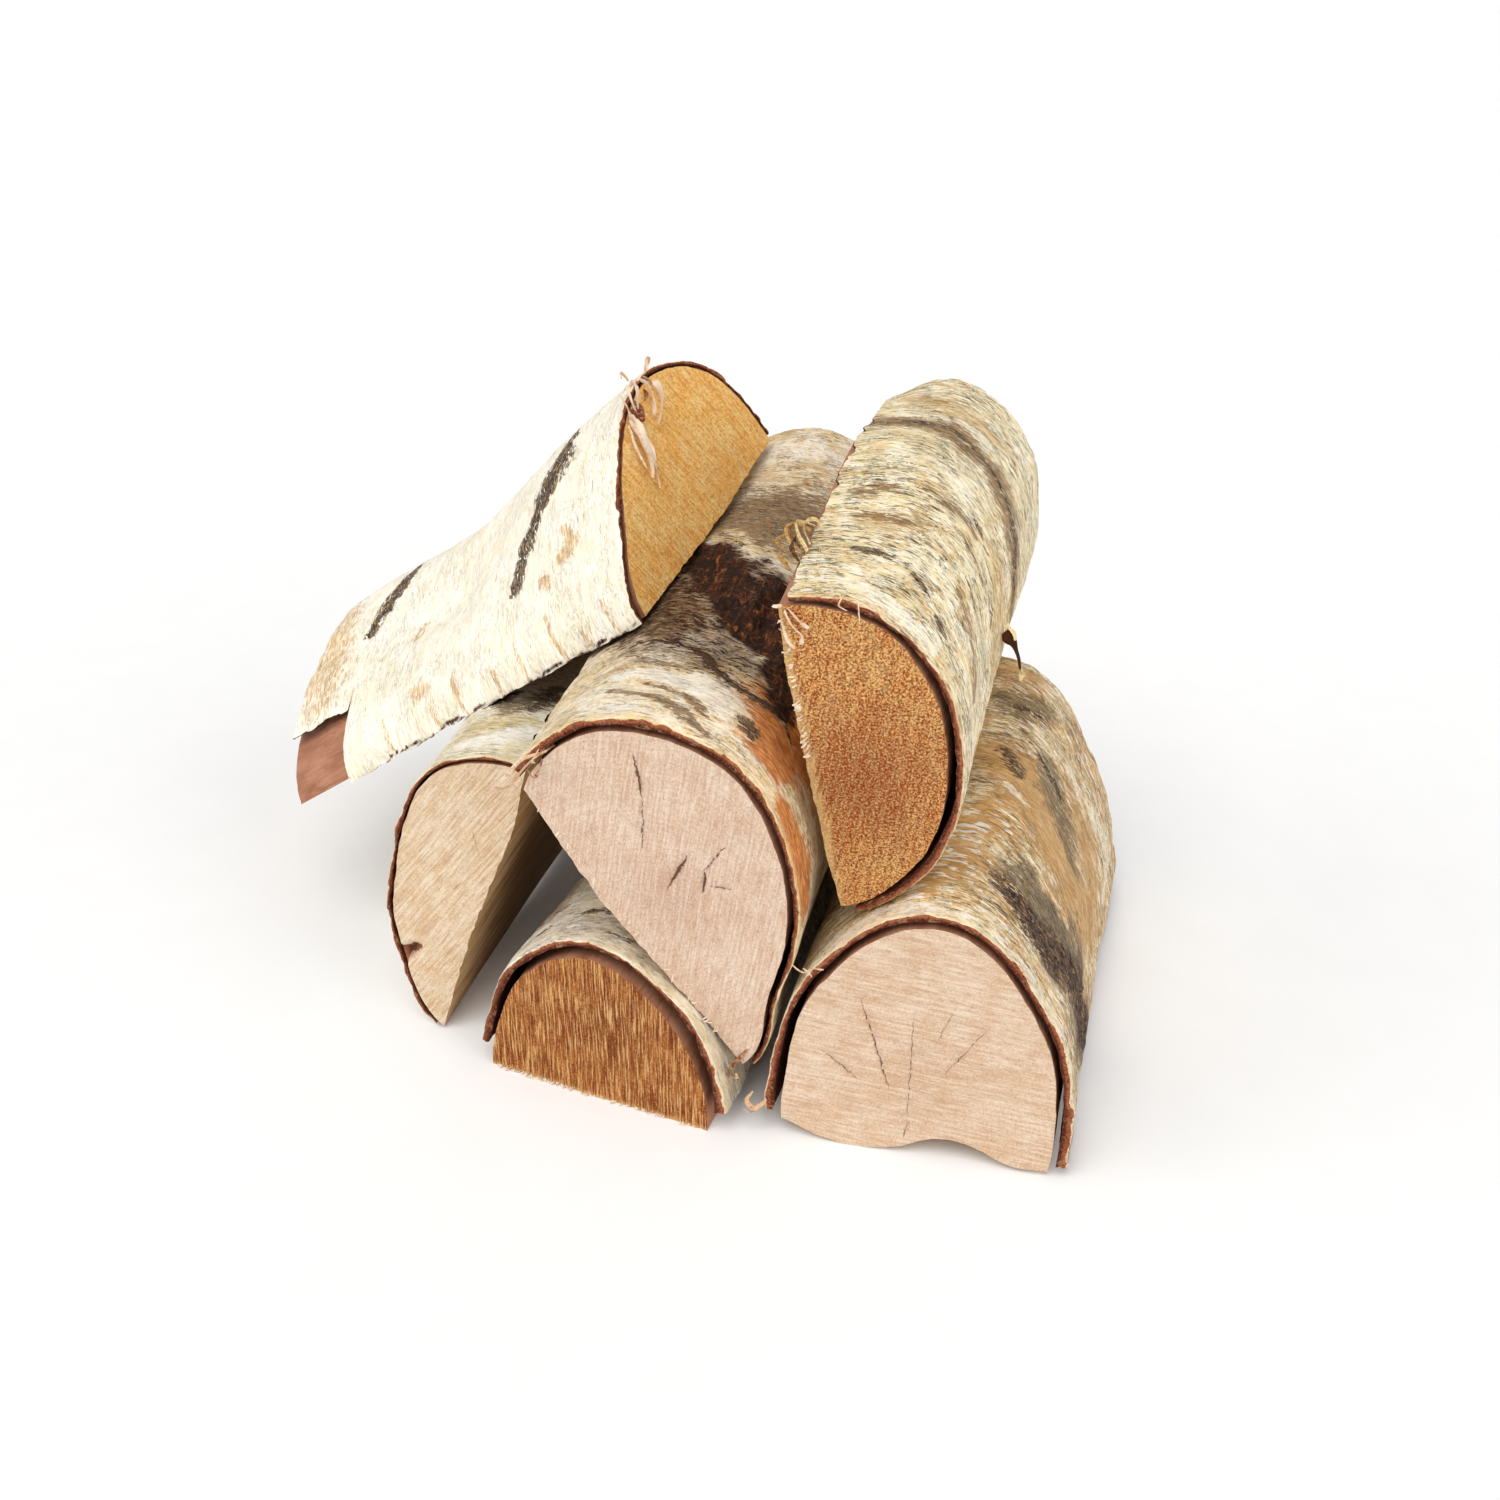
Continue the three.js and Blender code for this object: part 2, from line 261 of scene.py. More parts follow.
def smooth_step(low, high, value):
    t = np.clip((value - low) / (high - low), 0, 1)
    return t * t * (3 - 2 * t)


def wood_radius(log, angle, t):
    u = angle / 180
    r = blend(along(log.front, u), along(log.back, u), t)
    size, phase = log.ripple
    for i, (turn, down, strength) in enumerate(SWELLS):
        wave = np.sin(angle * turn + t * down + phase * (i + 1))
        r = r + size * strength * wave * np.sin(math.pi * t)
    for at, start, height, reach in log.knots:
        across = np.radians(angle - at) * r
        down = t * log.length - start
        r = r + height * np.exp(-(across ** 2 + down ** 2) / reach ** 2)
    return r


def bark_gap(log, angle, t):
    from_front = t * log.length / GAP_REACH
    from_back = (1 - t) * log.length / GAP_REACH
    open_share = np.exp(-from_front ** 2) + BACK_GAP * np.exp(-from_back ** 2)
    gap = GAP_INSIDE + (along(log.gap, angle / 180) - GAP_INSIDE) * open_share
    if log.break_from is not None:
        down = np.clip(1 + (t * log.length - log.break_from) / BREAK_REACH, 0, 1)
        turn = np.clip(1 + (angle - log.break_span) / BREAK_TURN, 0, 1)
        gap = gap + BREAK_LIFT * down * turn
    return gap


def station_point(log, x, z, t):
    sag = np.sin(math.pi * t)
    front_cut = log.slant * x
    back_cut = log.back_slant[0] * x + log.back_slant[1] * z
    y = t * log.length + blend(front_cut, back_cut, t)
    return np.stack(np.broadcast_arrays(x + log.bow[0] * sag, y, z + log.bow[1] * sag), axis=-1)


def polar(log, radius, angle, t):
    a = np.radians(angle)
    return station_point(log, radius * np.cos(a), radius * np.sin(a), t)


def log_turn(log):
    """The log's rotation: roll about Y, then pitch about X, then yaw about Z."""
    y, p, r = (math.radians(turn) for turn in (log.yaw, log.pitch, log.roll))
    about_z = np.array([[math.cos(y), -math.sin(y), 0], [math.sin(y), math.cos(y), 0], [0, 0, 1]])
    about_x = np.array([[1, 0, 0], [0, math.cos(p), -math.sin(p)], [0, math.sin(p), math.cos(p)]])
    about_y = np.array([[math.cos(r), 0, math.sin(r)], [0, 1, 0], [-math.sin(r), 0, math.cos(r)]])
    return about_z @ about_x @ about_y


def to_stack(log, points):
    """Points in a log's axes, in millimetres, to the part's frame in metres."""
    at = np.array(log.at, float) - (*STACK_CENTRE, 0)
    return (points @ log_turn(log).T + at) * MM


def half_way_arc(log, low, high):
    """Half way along the log, how long its round side is between two angles and how far apart they lie."""
    angle = np.linspace(low, high, 60)
    line = polar(log, wood_radius(log, angle, 0.5), angle, 0.5)
    return np.linalg.norm(np.diff(line, axis=0), axis=1).sum(), np.linalg.norm(line[0] - line[-1])


# Meshes

def make_piece(name, log, points, faces, fields, materials, face_material, sharp=45):
    """A mesh object from points in the log's axes, with its fields as point attributes."""
    world = to_stack(log, points)
    world[:, 2] = np.maximum(world[:, 2], 0.0001)
    mesh = bpy.data.meshes.new(name)
    mesh.from_pydata(world.tolist(), [], faces)
    grain = mesh.attributes.new("grain", "FLOAT_VECTOR", "POINT")
    grain.data.foreach_set("vector", points.astype(np.float32).ravel())
    for key, values in fields.items():
        layer = mesh.attributes.new(key, "FLOAT", "POINT")
        layer.data.foreach_set("value", np.asarray(values, np.float32))
    for material in materials:
        mesh.materials.append(material)
    mesh.polygons.foreach_set("material_index", face_material)
    mesh.shade_smooth()
    mesh.set_sharp_from_angle(angle=math.radians(sharp))
    mesh.validate()
    piece = bpy.data.objects.new(name, mesh)
    bpy.context.scene.collection.objects.link(piece)
    return piece


def zipper(a, b):
    """Triangles between two rows of points that run side by side, of any two lengths."""
    out = []
    i = j = 0
    while i < len(a) - 1 or j < len(b) - 1:
        step_a = (i + 1) / (len(a) - 1) if i < len(a) - 1 else 2
        step_b = (j + 1) / (len(b) - 1) if j < len(b) - 1 else 2
        if step_a <= step_b:
            out.append((a[i], a[i + 1], b[j]))
            i += 1
        else:
            out.append((a[i], b[j + 1], b[j]))
            j += 1
    return out


def strips(rows, closed):
    """Quads between neighbouring rows of equally many point numbers."""
    rows = np.asarray(rows)
    here, there = rows[:-1], rows[1:]
    if closed:
        after_here, after_there = np.roll(here, -1, axis=1), np.roll(there, -1, axis=1)
    else:
        after_here, after_there = here[:, 1:], there[:, 1:]
        here, there = here[:, :-1], there[:, :-1]
    return np.stack([here, there, after_there, after_here], axis=-1).reshape(-1, 4).tolist()


def stations(length, spacing, close):
    """Shares of the length, evenly spaced, with a few close ones at each end."""
    count = round(length / spacing)
    even = np.linspace(0, 1, count + 1)[1:-1]
    ends = np.array(close) / length
    inner = even[(even > ends[-1] + 0.4 / count) & (even < 1 - ends[-1] - 0.4 / count)]
    return np.concatenate([ends, inner, 1 - ends[::-1]])


# Bark

# Close stations at the bark's ends, and the shares of its thickness at which its edges have points.
BARK_EDGE_CLOSE = (0, 0.5, 1.3)
BARK_WALL = (0.3, 0.65)

# Marks are laid out on a round of this radius. They wander, swell and taper by these lengths and shares.
MARK_RADIUS = 78
MARK_WANDER = 1.8
MARK_SWELL = 0.4
TAPER = 0.6

# The outer skin's fray at the ends, the lip's draw-in there, and the jags of the underside, in millimetres.
FRAY = 1.7
FRAY_REACH = 4
LIP = 0.6
LIP_REACH = 0.5
JAGS = 0.7
JAGS_MOST = 0.8
JAGS_REACH = 6

# Roughness of the bark's long edges and of its sawn ends, in millimetres.
WALL_BUMPS = 0.6
CAP_BUMPS = 0.8

# Degrees from each long edge over which the points are drawn in to the tears.
DRAWN_LOW = 30
DRAWN_HIGH = 45


def bark_place(angle, y):
    """Places on a round of the usual size, so that noise over them runs on round the log."""
    a = np.radians(angle)
    return np.stack([MARK_RADIUS * np.cos(a), y, MARK_RADIUS * np.sin(a)], axis=-1)


def from_line(round_it, down, line):
    """How far places on the bark are from a mark's line, counted as further towards the line's ends."""
    nearest = np.full(round_it.shape, 1e9)
    points = [(math.radians(a) * MARK_RADIUS, d) for a, d in line]
    pieces = len(points) - 1
    for k, ((s0, y0), (s1, y1)) in enumerate(zip(points[:-1], points[1:])):
        span = (s1 - s0) ** 2 + (y1 - y0) ** 2
        share = np.clip(((round_it - s0) * (s1 - s0) + (down - y0) * (y1 - y0)) / span, 0, 1)
        away = np.hypot(round_it - s0 - share * (s1 - s0), down - y0 - share * (y1 - y0))
        taper = TAPER + (1 - TAPER) * np.sin(math.pi * (k + share) / pieces)
        nearest = np.minimum(nearest, away / taper)
    return nearest


def mark_fields(log, angle, y):
    """How strongly each kind of mark covers a place: its strength on its line, falling to 0 beside it."""
    fields = {kind: np.zeros(angle.shape) for kind in MARK_KINDS}
    place = bark_place(angle, y)
    round_it = np.radians(angle) * MARK_RADIUS + MARK_WANDER * layered_noise(place, 11, log.seed + 80)
    down = y + MARK_WANDER * layered_noise(place, (14, 8, 14), log.seed + 84)
    swell = 1 + MARK_SWELL * layered_noise(place, 9, log.seed + 88)
    for kind, marks in MARKS[log.name].items():
        for width, strength, line in marks:
            cover = strength * np.clip(1.5 - from_line(round_it, down, line) / (width * swell), 0, 1)
            fields[kind] = np.maximum(fields[kind], cover)
    return fields


def bark_thickness(log, angle, y):
    """The bark's thickness in millimetres, changing round the log and from place to place."""
    lumps = 1 + 0.2 * layered_noise(bark_place(angle, y), (12, 40, 12), log.seed + 90)
    return log.bark * along(log.thick, angle / 180) * lumps


def torn_edge(y, size, seed):
    """How far a torn bark edge draws back along the log, in millimetres."""
    at = np.stack([y, np.zeros_like(y), np.zeros_like(y)], axis=-1)
    return size * np.clip(0.5 + layered_noise(at, 9, seed, 4), 0, 2)


def bark_angles(log, even, t, seed):
    """Angles of the bark's points: even ones, drawn in at the torn long edges and at a broken corner."""
    low, high = log.bark_span
    y = t * log.length
    radius = wood_radius(log, np.full_like(t, high), t)
    start = low + np.degrees(torn_edge(y, log.tear, seed) / radius)
    end = high - np.degrees(torn_edge(y, log.tear, seed + 7) / radius)
    if log.break_from is not None:
        step = smooth_step(-0.8, 0.8, y - log.break_from - torn_edge(y, 0.5, seed + 9))
        ragged = np.degrees(torn_edge(y, 1.5, seed + 5) / radius)
        end = blend(end, log.break_span - ragged, step)
    near_low, near_high = low + DRAWN_LOW, high - DRAWN_HIGH
    angle = low + (high - low) * even
    drawn_low = near_low - (near_low - angle) * (near_low - start) / (near_low - low)
    drawn_high = near_high + (angle - near_high) * (end - near_high) / (high - near_high)
    return np.where(angle < near_low, drawn_low, np.where(angle > near_high, drawn_high, angle))


def bark_relief(points, fields, seed):
    """Height of the bark's outside over its smooth form, in millimetres."""

    def lumps(size, step, layers):
        return layered_noise(points, size, seed + step, layers)

    height = 0.5 * lumps((26, 34, 26), 0, 2)
    height += 0.24 * lumps((15, 2.2, 15), 11, 2)
    dashes = noise(points, (9, 1.6, 9), seed + 17)
    height += 0.4 * np.clip(dashes - 0.45, 0, 1)
    height += fields["scar"] * (0.3 + 0.9 * lumps((4, 2.6, 4), 23, 3))
    height += fields["torn"] * (1.9 * lumps((4, 14, 4), 29, 3) - 0.9)
    height += fields["peel"] * (0.7 * lumps((9, 2.4, 9), 33, 3) + 0.2)
    return height


def bark_grid(log, t, around):
    """Places for the bark's points: angle, share of the length, distance from the front end, radius of the
    bark's underside and distance from the nearer end."""
    t, even = np.meshgrid(t, np.linspace(0, 1, around), indexing="ij")
    angle = bark_angles(log, even, t, log.seed)
    y = t * log.length
    under = wood_radius(log, angle, t) + bark_gap(log, angle, t)
    return angle, t, y, under, np.minimum(y, log.length - y)


def bark_outside(log, t, around):
    """The outside of the bark as rows of points, and the lines at both ends where it lies on the wood."""
    angle, t, y, under, from_end = bark_grid(log, t, around)
    radius = under + bark_thickness(log, angle, y)
    smooth = polar(log, radius, angle, t)
    relief = bark_relief(smooth, mark_fields(log, angle, y), log.seed)
    relief = relief - LIP * np.exp(-(from_end / LIP_REACH) ** 2)
    outer = polar(log, radius + relief, angle, t)

    # The outer skin ends a little short of the cut, by a different length from place to place.
    for end, way in ((0, 1), (-1, -1)):
        short = FRAY * np.clip(layered_noise(smooth[end], 5, log.seed + 31 + end, 4), -0.25, 1)
        fade = np.exp(-np.abs(y - y[end]) / FRAY_REACH)
        outer[:, :, 1] += way * short * fade
    return outer, {end: polar(log, under[end], angle[end], t[end]) for end in (0, -1)}


def bark_inside(log, t, around):
    """The inside of the bark as rows of points, jagged near the ends."""
    angle, t, y, under, from_end = bark_grid(log, t, around)
    jags = JAGS * layered_noise(bark_place(angle, y), (5, 60, 5), log.seed + 35)
    jags = jags * np.exp(-(from_end / JAGS_REACH) ** 2)
    return polar(log, under + np.clip(jags, -JAGS_MOST, JAGS_MOST), angle, t)


def bark_piece(log, materials):
    seed = log.seed
    t = stations(log.length, log.grid, BARK_EDGE_CLOSE)
    arc, _ = half_way_arc(log, *log.bark_span)
    around = round(arc / log.grid)
    inside = around // 3
    outer, inner_lines = bark_outside(log, t, around)
    inner = bark_inside(log, t, inside)

    low_walls = [blend(outer[:, 0], inner[:, 0], share) for share in BARK_WALL]
    high_walls = [blend(outer[:, -1], inner[:, -1], share) for share in BARK_WALL]
    for k, wall in enumerate(low_walls + high_walls):
        wall += WALL_BUMPS * layered_noise(wall, (2, 4, 2), seed + 40 + k)[:, None]
    ring = np.concatenate([outer, np.stack(high_walls, axis=1), inner[:, ::-1],
                           np.stack(low_walls[::-1], axis=1)], axis=1)
    rows, count = ring.shape[:2]
    depth_row = np.concatenate([np.zeros(around), BARK_WALL, np.ones(inside), BARK_WALL[::-1]])
    depth = [np.tile(depth_row, rows)]
    numbers = np.arange(rows * count).reshape(rows, count)
    faces = strips(numbers, closed=True)
    outside = np.zeros((rows - 1, count), int)
    outside[:, around - 1:] = 1
    kinds = outside.ravel().tolist()
    points = [ring.reshape(-1, 3)]
    total = numbers.size

    for end, side in ((0, 1), (-1, -1)):
        row_numbers = numbers[end]
        last = list(row_numbers[around + 2:around + 2 + inside][::-1])
        cap_rows = [list(row_numbers[:around])]
        for k, share in enumerate(BARK_WALL):
            row = blend(outer[end], inner_lines[end], share)
            row[:, 1] += side * CAP_BUMPS * layered_noise(row, (2.4, 1, 2.4), seed + 50 + k)
            points.append(row[1:-1])
            depth.append(np.full(around - 2, share))
            new = range(total, total + around - 2)
            total += around - 2
            cap_rows.append([row_numbers[count - 1 - k], *new, row_numbers[around + k]])
        cap = strips(cap_rows, closed=False) + zipper(cap_rows[-1], last)
        faces += cap if end == -1 else [face[::-1] for face in cap]
        kinds += [1] * len(cap)

    points = np.concatenate(points)
    local_angle = np.degrees(np.arctan2(points[:, 2], points[:, 0]))
    local_angle = np.where(local_angle < -90, local_angle + 360, local_angle)
    fields = mark_fields(log, local_angle, points[:, 1])
    fields["depth"] = np.concatenate(depth)
    piece = make_piece(f"{log.name}_bark", log, points, faces, fields, materials, kinds, sharp=50)
    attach(piece, "root")
    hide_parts(f"{log.name}_log_bark")


# Wood

# Spacing of the wood's stations and the close ones at its ends, in millimetres.
WOOD_ALONG = 3.6
WOOD_CLOSE = (0, 0.7, 2.5)

# A sawn end's saw lines, the pits between them, its swell, and the wander and depth of its cracks.
SAW_DEPTH = 0.12
PIT_DEPTH = 0.10
END_SWELL = 0.5
CRACK_WANDER = 0.8
CRACK_DEPTH = 1.6

# Bumps of the round side, coarse and fine fibres of the split face, and the angle where a worn corner starts.
ROUND_BUMPS = 0.35
COARSE_FIBRES = 0.55
FINE_FIBRES = 0.22
WORN_FROM = 171

# The middle of a sawn end, as a share of its height, and the fewest points of a row round it.
CAP_MIDDLE = 0.42
CAP_FEWEST = 24


def crack_depth(log, points):
    """Depth of the cracks at points of the front sawn end, in millimetres."""
    depth = np.zeros(len(points))
    wander = CRACK_WANDER * layered_noise(points, (5, 50, 5), log.seed + 64)
    at = points[:, [0, 2]] + wander[:, None]
    for start, end, width in CRACKS.get(log.name, []):
        a, b = np.array(start, float), np.array(end, float)
        span = b - a
        share = np.clip(((at - a) @ span) / (span @ span), 0, 1)
        away = np.linalg.norm(at - a - share[:, None] * span, axis=1)
        taper = np.sin(math.pi * np.clip(share, 0.03, 0.97))
        profile = np.exp(-(away / (0.55 + 0.5 * width)) ** 2)
        depth = np.maximum(depth, CRACK_DEPTH * width * taper * profile)
    return depth


def end_relief(log, points, front):
    """How far a sawn end's surface stands off its plane: saw lines, fuzz and cracks."""
    turn = math.radians(log.saw_angle)
    across = points[:, 0] * math.cos(turn) + points[:, 2] * math.sin(turn)
    down = points[:, 2] * math.cos(turn) - points[:, 0] * math.sin(turn)
    flat = np.stack([across, down * 0.08, np.zeros_like(across)], axis=-1)
    out = SAW_DEPTH * log.saw_rough * layered_noise(flat, 1.7, log.seed + 60, 2)
    out += PIT_DEPTH * log.saw_rough * layered_noise(points, (2.4, 50, 2.4), log.seed + 61, 2)
    out += END_SWELL * noise(points, (30, 50, 30), log.seed + 62)
    if front:
        out -= crack_depth(log, points)
    return out


def wood_ring(log, t, arc_count, split_count):
    """The rows of points round the wood at the stations t."""
    seed = log.seed
    t_arc, angle = np.meshgrid(t, np.linspace(0, 180, arc_count + 1), indexing="ij")
    radius = wood_radius(log, angle, t_arc)
    arc = polar(log, radius, angle, t_arc)
    bumps = ROUND_BUMPS * layered_noise(arc, (7, 14, 7), seed + 70, 3)
    radius = radius + bumps * np.sin(np.radians(angle)) ** 0.3
    radius = radius - log.worn_corner * np.clip((angle - WORN_FROM) / (180 - WORN_FROM), 0, 1) ** 2
    arc = polar(log, radius, angle, t_arc)
    left = log.worn_corner - wood_radius(log, np.full_like(t, 180.0), t)
    right = wood_radius(log, np.zeros_like(t), t)
    u = np.arange(1, split_count) / split_count
    t_split, u_split = np.meshgrid(t, u, indexing="ij")
    x = left[:, None] * (1 - u_split) + right[:, None] * u_split
    z = blend(along(log.hollow, u_split), along(log.back_hollow, u_split), t_split)
    flat = station_point(log, x, z, t_split)
    edge = np.sin(math.pi * u_split) ** 0.4
    fibres = log.fibre * (COARSE_FIBRES * layered_noise(flat, (5, 90, 5), seed + 72, 4)
                          + FINE_FIBRES * layered_noise(flat, (1.6, 26, 1.6), seed + 73, 2))
    flat = station_point(log, x, z + fibres * edge, t_split)
    return np.concatenate([arc, flat], axis=1)


def fan_cap(row_numbers, ring, centre, row_gap, first_number):
    """Rows of points from a ring in to its middle, thinned out as they get shorter, and the faces between."""
    reach = np.linalg.norm(ring - centre, axis=1).mean()
    rows = max(4, round(reach / row_gap))
    points, faces = [], []
    last = list(row_numbers)
    keep = np.arange(len(ring))
    number = first_number
    for k in range(1, rows):
        share = 1 - k / rows
        if len(keep) > 2 * len(ring) * share and len(keep) > CAP_FEWEST:
            keep = keep[::2]
        points.append(centre + (ring[keep] - centre) * share)
        here = list(range(number, number + len(keep)))
        number += len(keep)
        if len(here) == len(last):
            faces += strips([last, here], closed=True)
        else:
            faces += zipper(last + last[:1], here + here[:1])
        last = here
    points.append(centre[None])
    for k in range(len(last)):
        faces.append((last[k], number, last[(k + 1) % len(last)]))
    return np.concatenate(points), faces, number + 1


def wood_piece(log, materials):
    t = stations(log.length, WOOD_ALONG, WOOD_CLOSE)
    arc, width = half_way_arc(log, 0, 180)
    arc_count, split_count = round(arc / log.wood_grid), round(width / log.wood_grid)
    ring = wood_ring(log, t, arc_count, split_count)
    rows, count = ring.shape[:2]
    numbers = np.arange(rows * count).reshape(rows, count)
    faces = strips(numbers, closed=True)
    side = np.zeros((rows - 1, count), int)
    side[:, :arc_count] = 2
    side[:, arc_count:] = 1
    kinds = side.ravel().tolist()

    middle_z = CAP_MIDDLE * wood_radius(log, np.array([90.0]), np.array([0.0]))[0]
    total = numbers.size
    caps = []
    for end, gap, way in ((0, log.wood_grid, -1), (-1, 2 * log.wood_grid, 1)):
        centre = station_point(log, np.array(0.0), np.array(middle_z), t[end])
        cap_points, cap, total = fan_cap(numbers[end], ring[end], centre, gap, total)
        cap_points[:, 1] += way * end_relief(log, cap_points, end == 0)
        ring[end, :, 1] += way * end_relief(log, ring[end], end == 0)
        caps.append(cap_points)
        faces += cap if end == -1 else [face[::-1] for face in cap]
        kinds += [0] * len(cap)

    points = np.concatenate([ring.reshape(-1, 3), *caps])
    piece = make_piece(f"{log.name}_wood", log, points, faces, {}, materials, kinds, sharp=40)
    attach(piece, "root")
    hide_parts(f"{log.name}_log_wood")


# Loose fibres and splinters: lines through places in the log's axes, each with width, thickness and shade,
# from 0 for pale to 1 for red-brown.
FIBRES = {
    "top_left_fibres": ("top_left", "bark", [
        ([(-4, -2, 69), (-10, -6, 62), (-17, -7, 52), (-20, -5, 43), (-25, -3, 35)], 4.5, 0.9, 0.05),
        ([(-7, -2, 68), (-14, -5, 60), (-20, -6, 49), (-24, -3, 41)], 3.4, 0.8, 0.2),
        ([(-2, -2, 68), (-8, -4, 57), (-14, -5, 49), (-17, -3, 44)], 2.6, 0.8, 0.0),
        ([(-9, -1, 66), (-19, -3, 58), (-25, -4, 47)], 1.4, 0.6, 0.35),
        ([(28, -2, 76), (27, -7, 70), (20, -9, 64), (13, -7, 59), (9, -4, 55)], 4.4, 0.9, 0.05),
        ([(24, -2, 77), (20, -7, 73), (13, -8, 66), (10, -5, 60)], 3.0, 0.8, 0.1),
        ([(30, -1, 75), (31, -5, 68), (25, -6, 61)], 2.0, 0.7, 0.3),
        ([(14, -1, 78), (11, -7, 80), (4, -9, 76), (1, -5, 69)], 2.8, 0.8, 0.2),
        ([(8, -1, 79), (2, -7, 81), (-4, -8, 75), (-3, -4, 67)], 2.4, 0.8, 0.1),
        ([(3, 0, 79), (-3, -4, 79), (-9, -6, 72), (-7, -3, 66)], 2.0, 0.7, 0.25),
        ([(4, -1, 70), (2, -4, 66), (-3, -5, 63)], 4.0, 1.6, 0.9),
        ([(0, -1, 72), (-4, -5, 69), (-6, -4, 64)], 3.4, 1.4, 1.0),
        ([(8, -1, 72), (6, -4, 67), (1, -4, 63)], 2.8, 1.2, 0.8),
        ([(24, -1, 74), (20, -3, 70), (15, -3, 68)], 2.2, 1.0, 0.9),
        ([(36, 0, 76), (39, -5, 80), (34, -7, 82), (30, -3, 77)], 1.8, 0.6, 0.3),
        ([(20, 1, 80), (17, 0, 86), (12, -1, 84)], 1.5, 0.6, 0.5),
    ]),
    "top_right_curl": ("top_right", "bark", [
        ([(-86, 34, 4), (-89, 42, -3), (-90, 52, -6), (-88, 60, -3), (-86, 56, 3)], 2.6, 1.0, 0.45),
        ([(-86, 36, 6), (-91, 46, 0), (-91, 56, -2), (-87, 60, 4)], 2.4, 1.0, 0.25),
        ([(-85, 30, 3), (-87, 38, -6), (-87, 48, -10), (-85, 56, -8), (-84, 58, -2)], 2.6, 1.0, 0.5),
        ([(-87, 40, 6), (-93, 48, 3), (-92, 55, 6), (-88, 54, 9)], 2.0, 0.8, 0.2),
        ([(-84, 24, 1), (-86, 32, -5), (-84, 42, -7)], 2.2, 0.8, 0.6),
        ([(-86, 38, 3), (-90, 48, -4), (-89, 58, -5)], 2.0, 0.8, 0.7),
        ([(-85, 28, 4), (-88, 36, -1), (-89, 45, -1)], 2.2, 0.9, 0.9),
    ]),
    "top_right_threads": ("top_right", "wood", [
        ([(-83, -1, 35), (-77, -3.5, 34.5), (-70, -2, 34)], 1.1, 0.6, 0.15),
        ([(-84, -1, 30), (-80, -4, 27), (-77, -3, 30)], 0.8, 0.5, 0.4),
        ([(-77, 0, 2), (-72, -3, 5), (-66, -3, 9), (-62, -2, 7)], 3.2, 0.8, 0.1),
        ([(-78, 0, 4), (-73, -3, 9), (-69, -2, 12)], 2.4, 0.7, 0.2),
        ([(-72, 0, 0), (-66, -3, 2), (-60, -2, 4)], 2.2, 0.7, 0.1),
    ]),
    "top_right_shard": ("top_right", "bark", [
        ([(-3, 106, 71), (3, 104, 75), (9, 103, 77), (15, 102, 77)], 8.0, 1.8, 1.1),
        ([(13, 102, 77), (17, 101, 78), (21, 101, 77)], 3.4, 1.0, -0.2),
        ([(-8, 106, 72), (-4, 104, 76), (0, 103, 77)], 3.2, 0.9, -0.6),
    ]),
    "middle_splinters": ("middle", "bark", [
        ([(-97, 3, 28), (-97, -3, 18), (-94, -6, 8), (-91, -6, -2), (-93, -4, -9)], 4.2, 1.0, 0.45),
        ([(-96, 1, 24), (-100, -5, 15), (-97, -8, 5), (-95, -7, -3)], 2.4, 0.8, 0.25),
        ([(-94, -1, 16), (-98, -7, 21), (-101, -6, 27)], 1.8, 0.7, 0.3),
        ([(-93, -1, 10), (-90, -6, 14), (-92, -8, 20), (-96, -5, 24)], 1.6, 0.7, 0.7),
        ([(49, 0, 61), (53, -3, 66), (52, -4, 72), (55, -3, 76)], 1.4, 0.7, 0.3),
        ([(52, -1, 66), (57, -3, 68)], 0.9, 0.5, 0.2),
        ([(84, 2, 12), (88, -1, 3), (91, -3, -5), (95, -3, -9)], 3.6, 1.4, 0.8),
        ([(95, -3, -9), (97, -4, -5), (94, -5, -3)], 2.0, 0.9, 0.5),
    ]),
    "bottom_right_curl": ("bottom_right", "bark", [
        ([(-73, 0, 9), (-78, -4, 5), (-82, -4, 9), (-80, -2, 14)], 2.6, 0.9, 0.5),
        ([(-74, 0, 5), (-80, -3, 1.5), (-84, -4, 4)], 1.6, 0.7, 0.2),
    ]),
}
RIBBON_STEPS = 14
TAN_FIBRES = ("top_right_curl", "top_right_shard")

# Fuzz on sawn ends: the log, its reach across the end, how many fibres, how far they hang and their width.
FUZZ = [
    ("top_right", (-80, -6), 34, 3.0, 1.5),
    ("bottom_middle", (-58, 58), 70, 0.1, 1.3),
    ("middle", (-84, 76), 26, 1.4, 0.8),
]


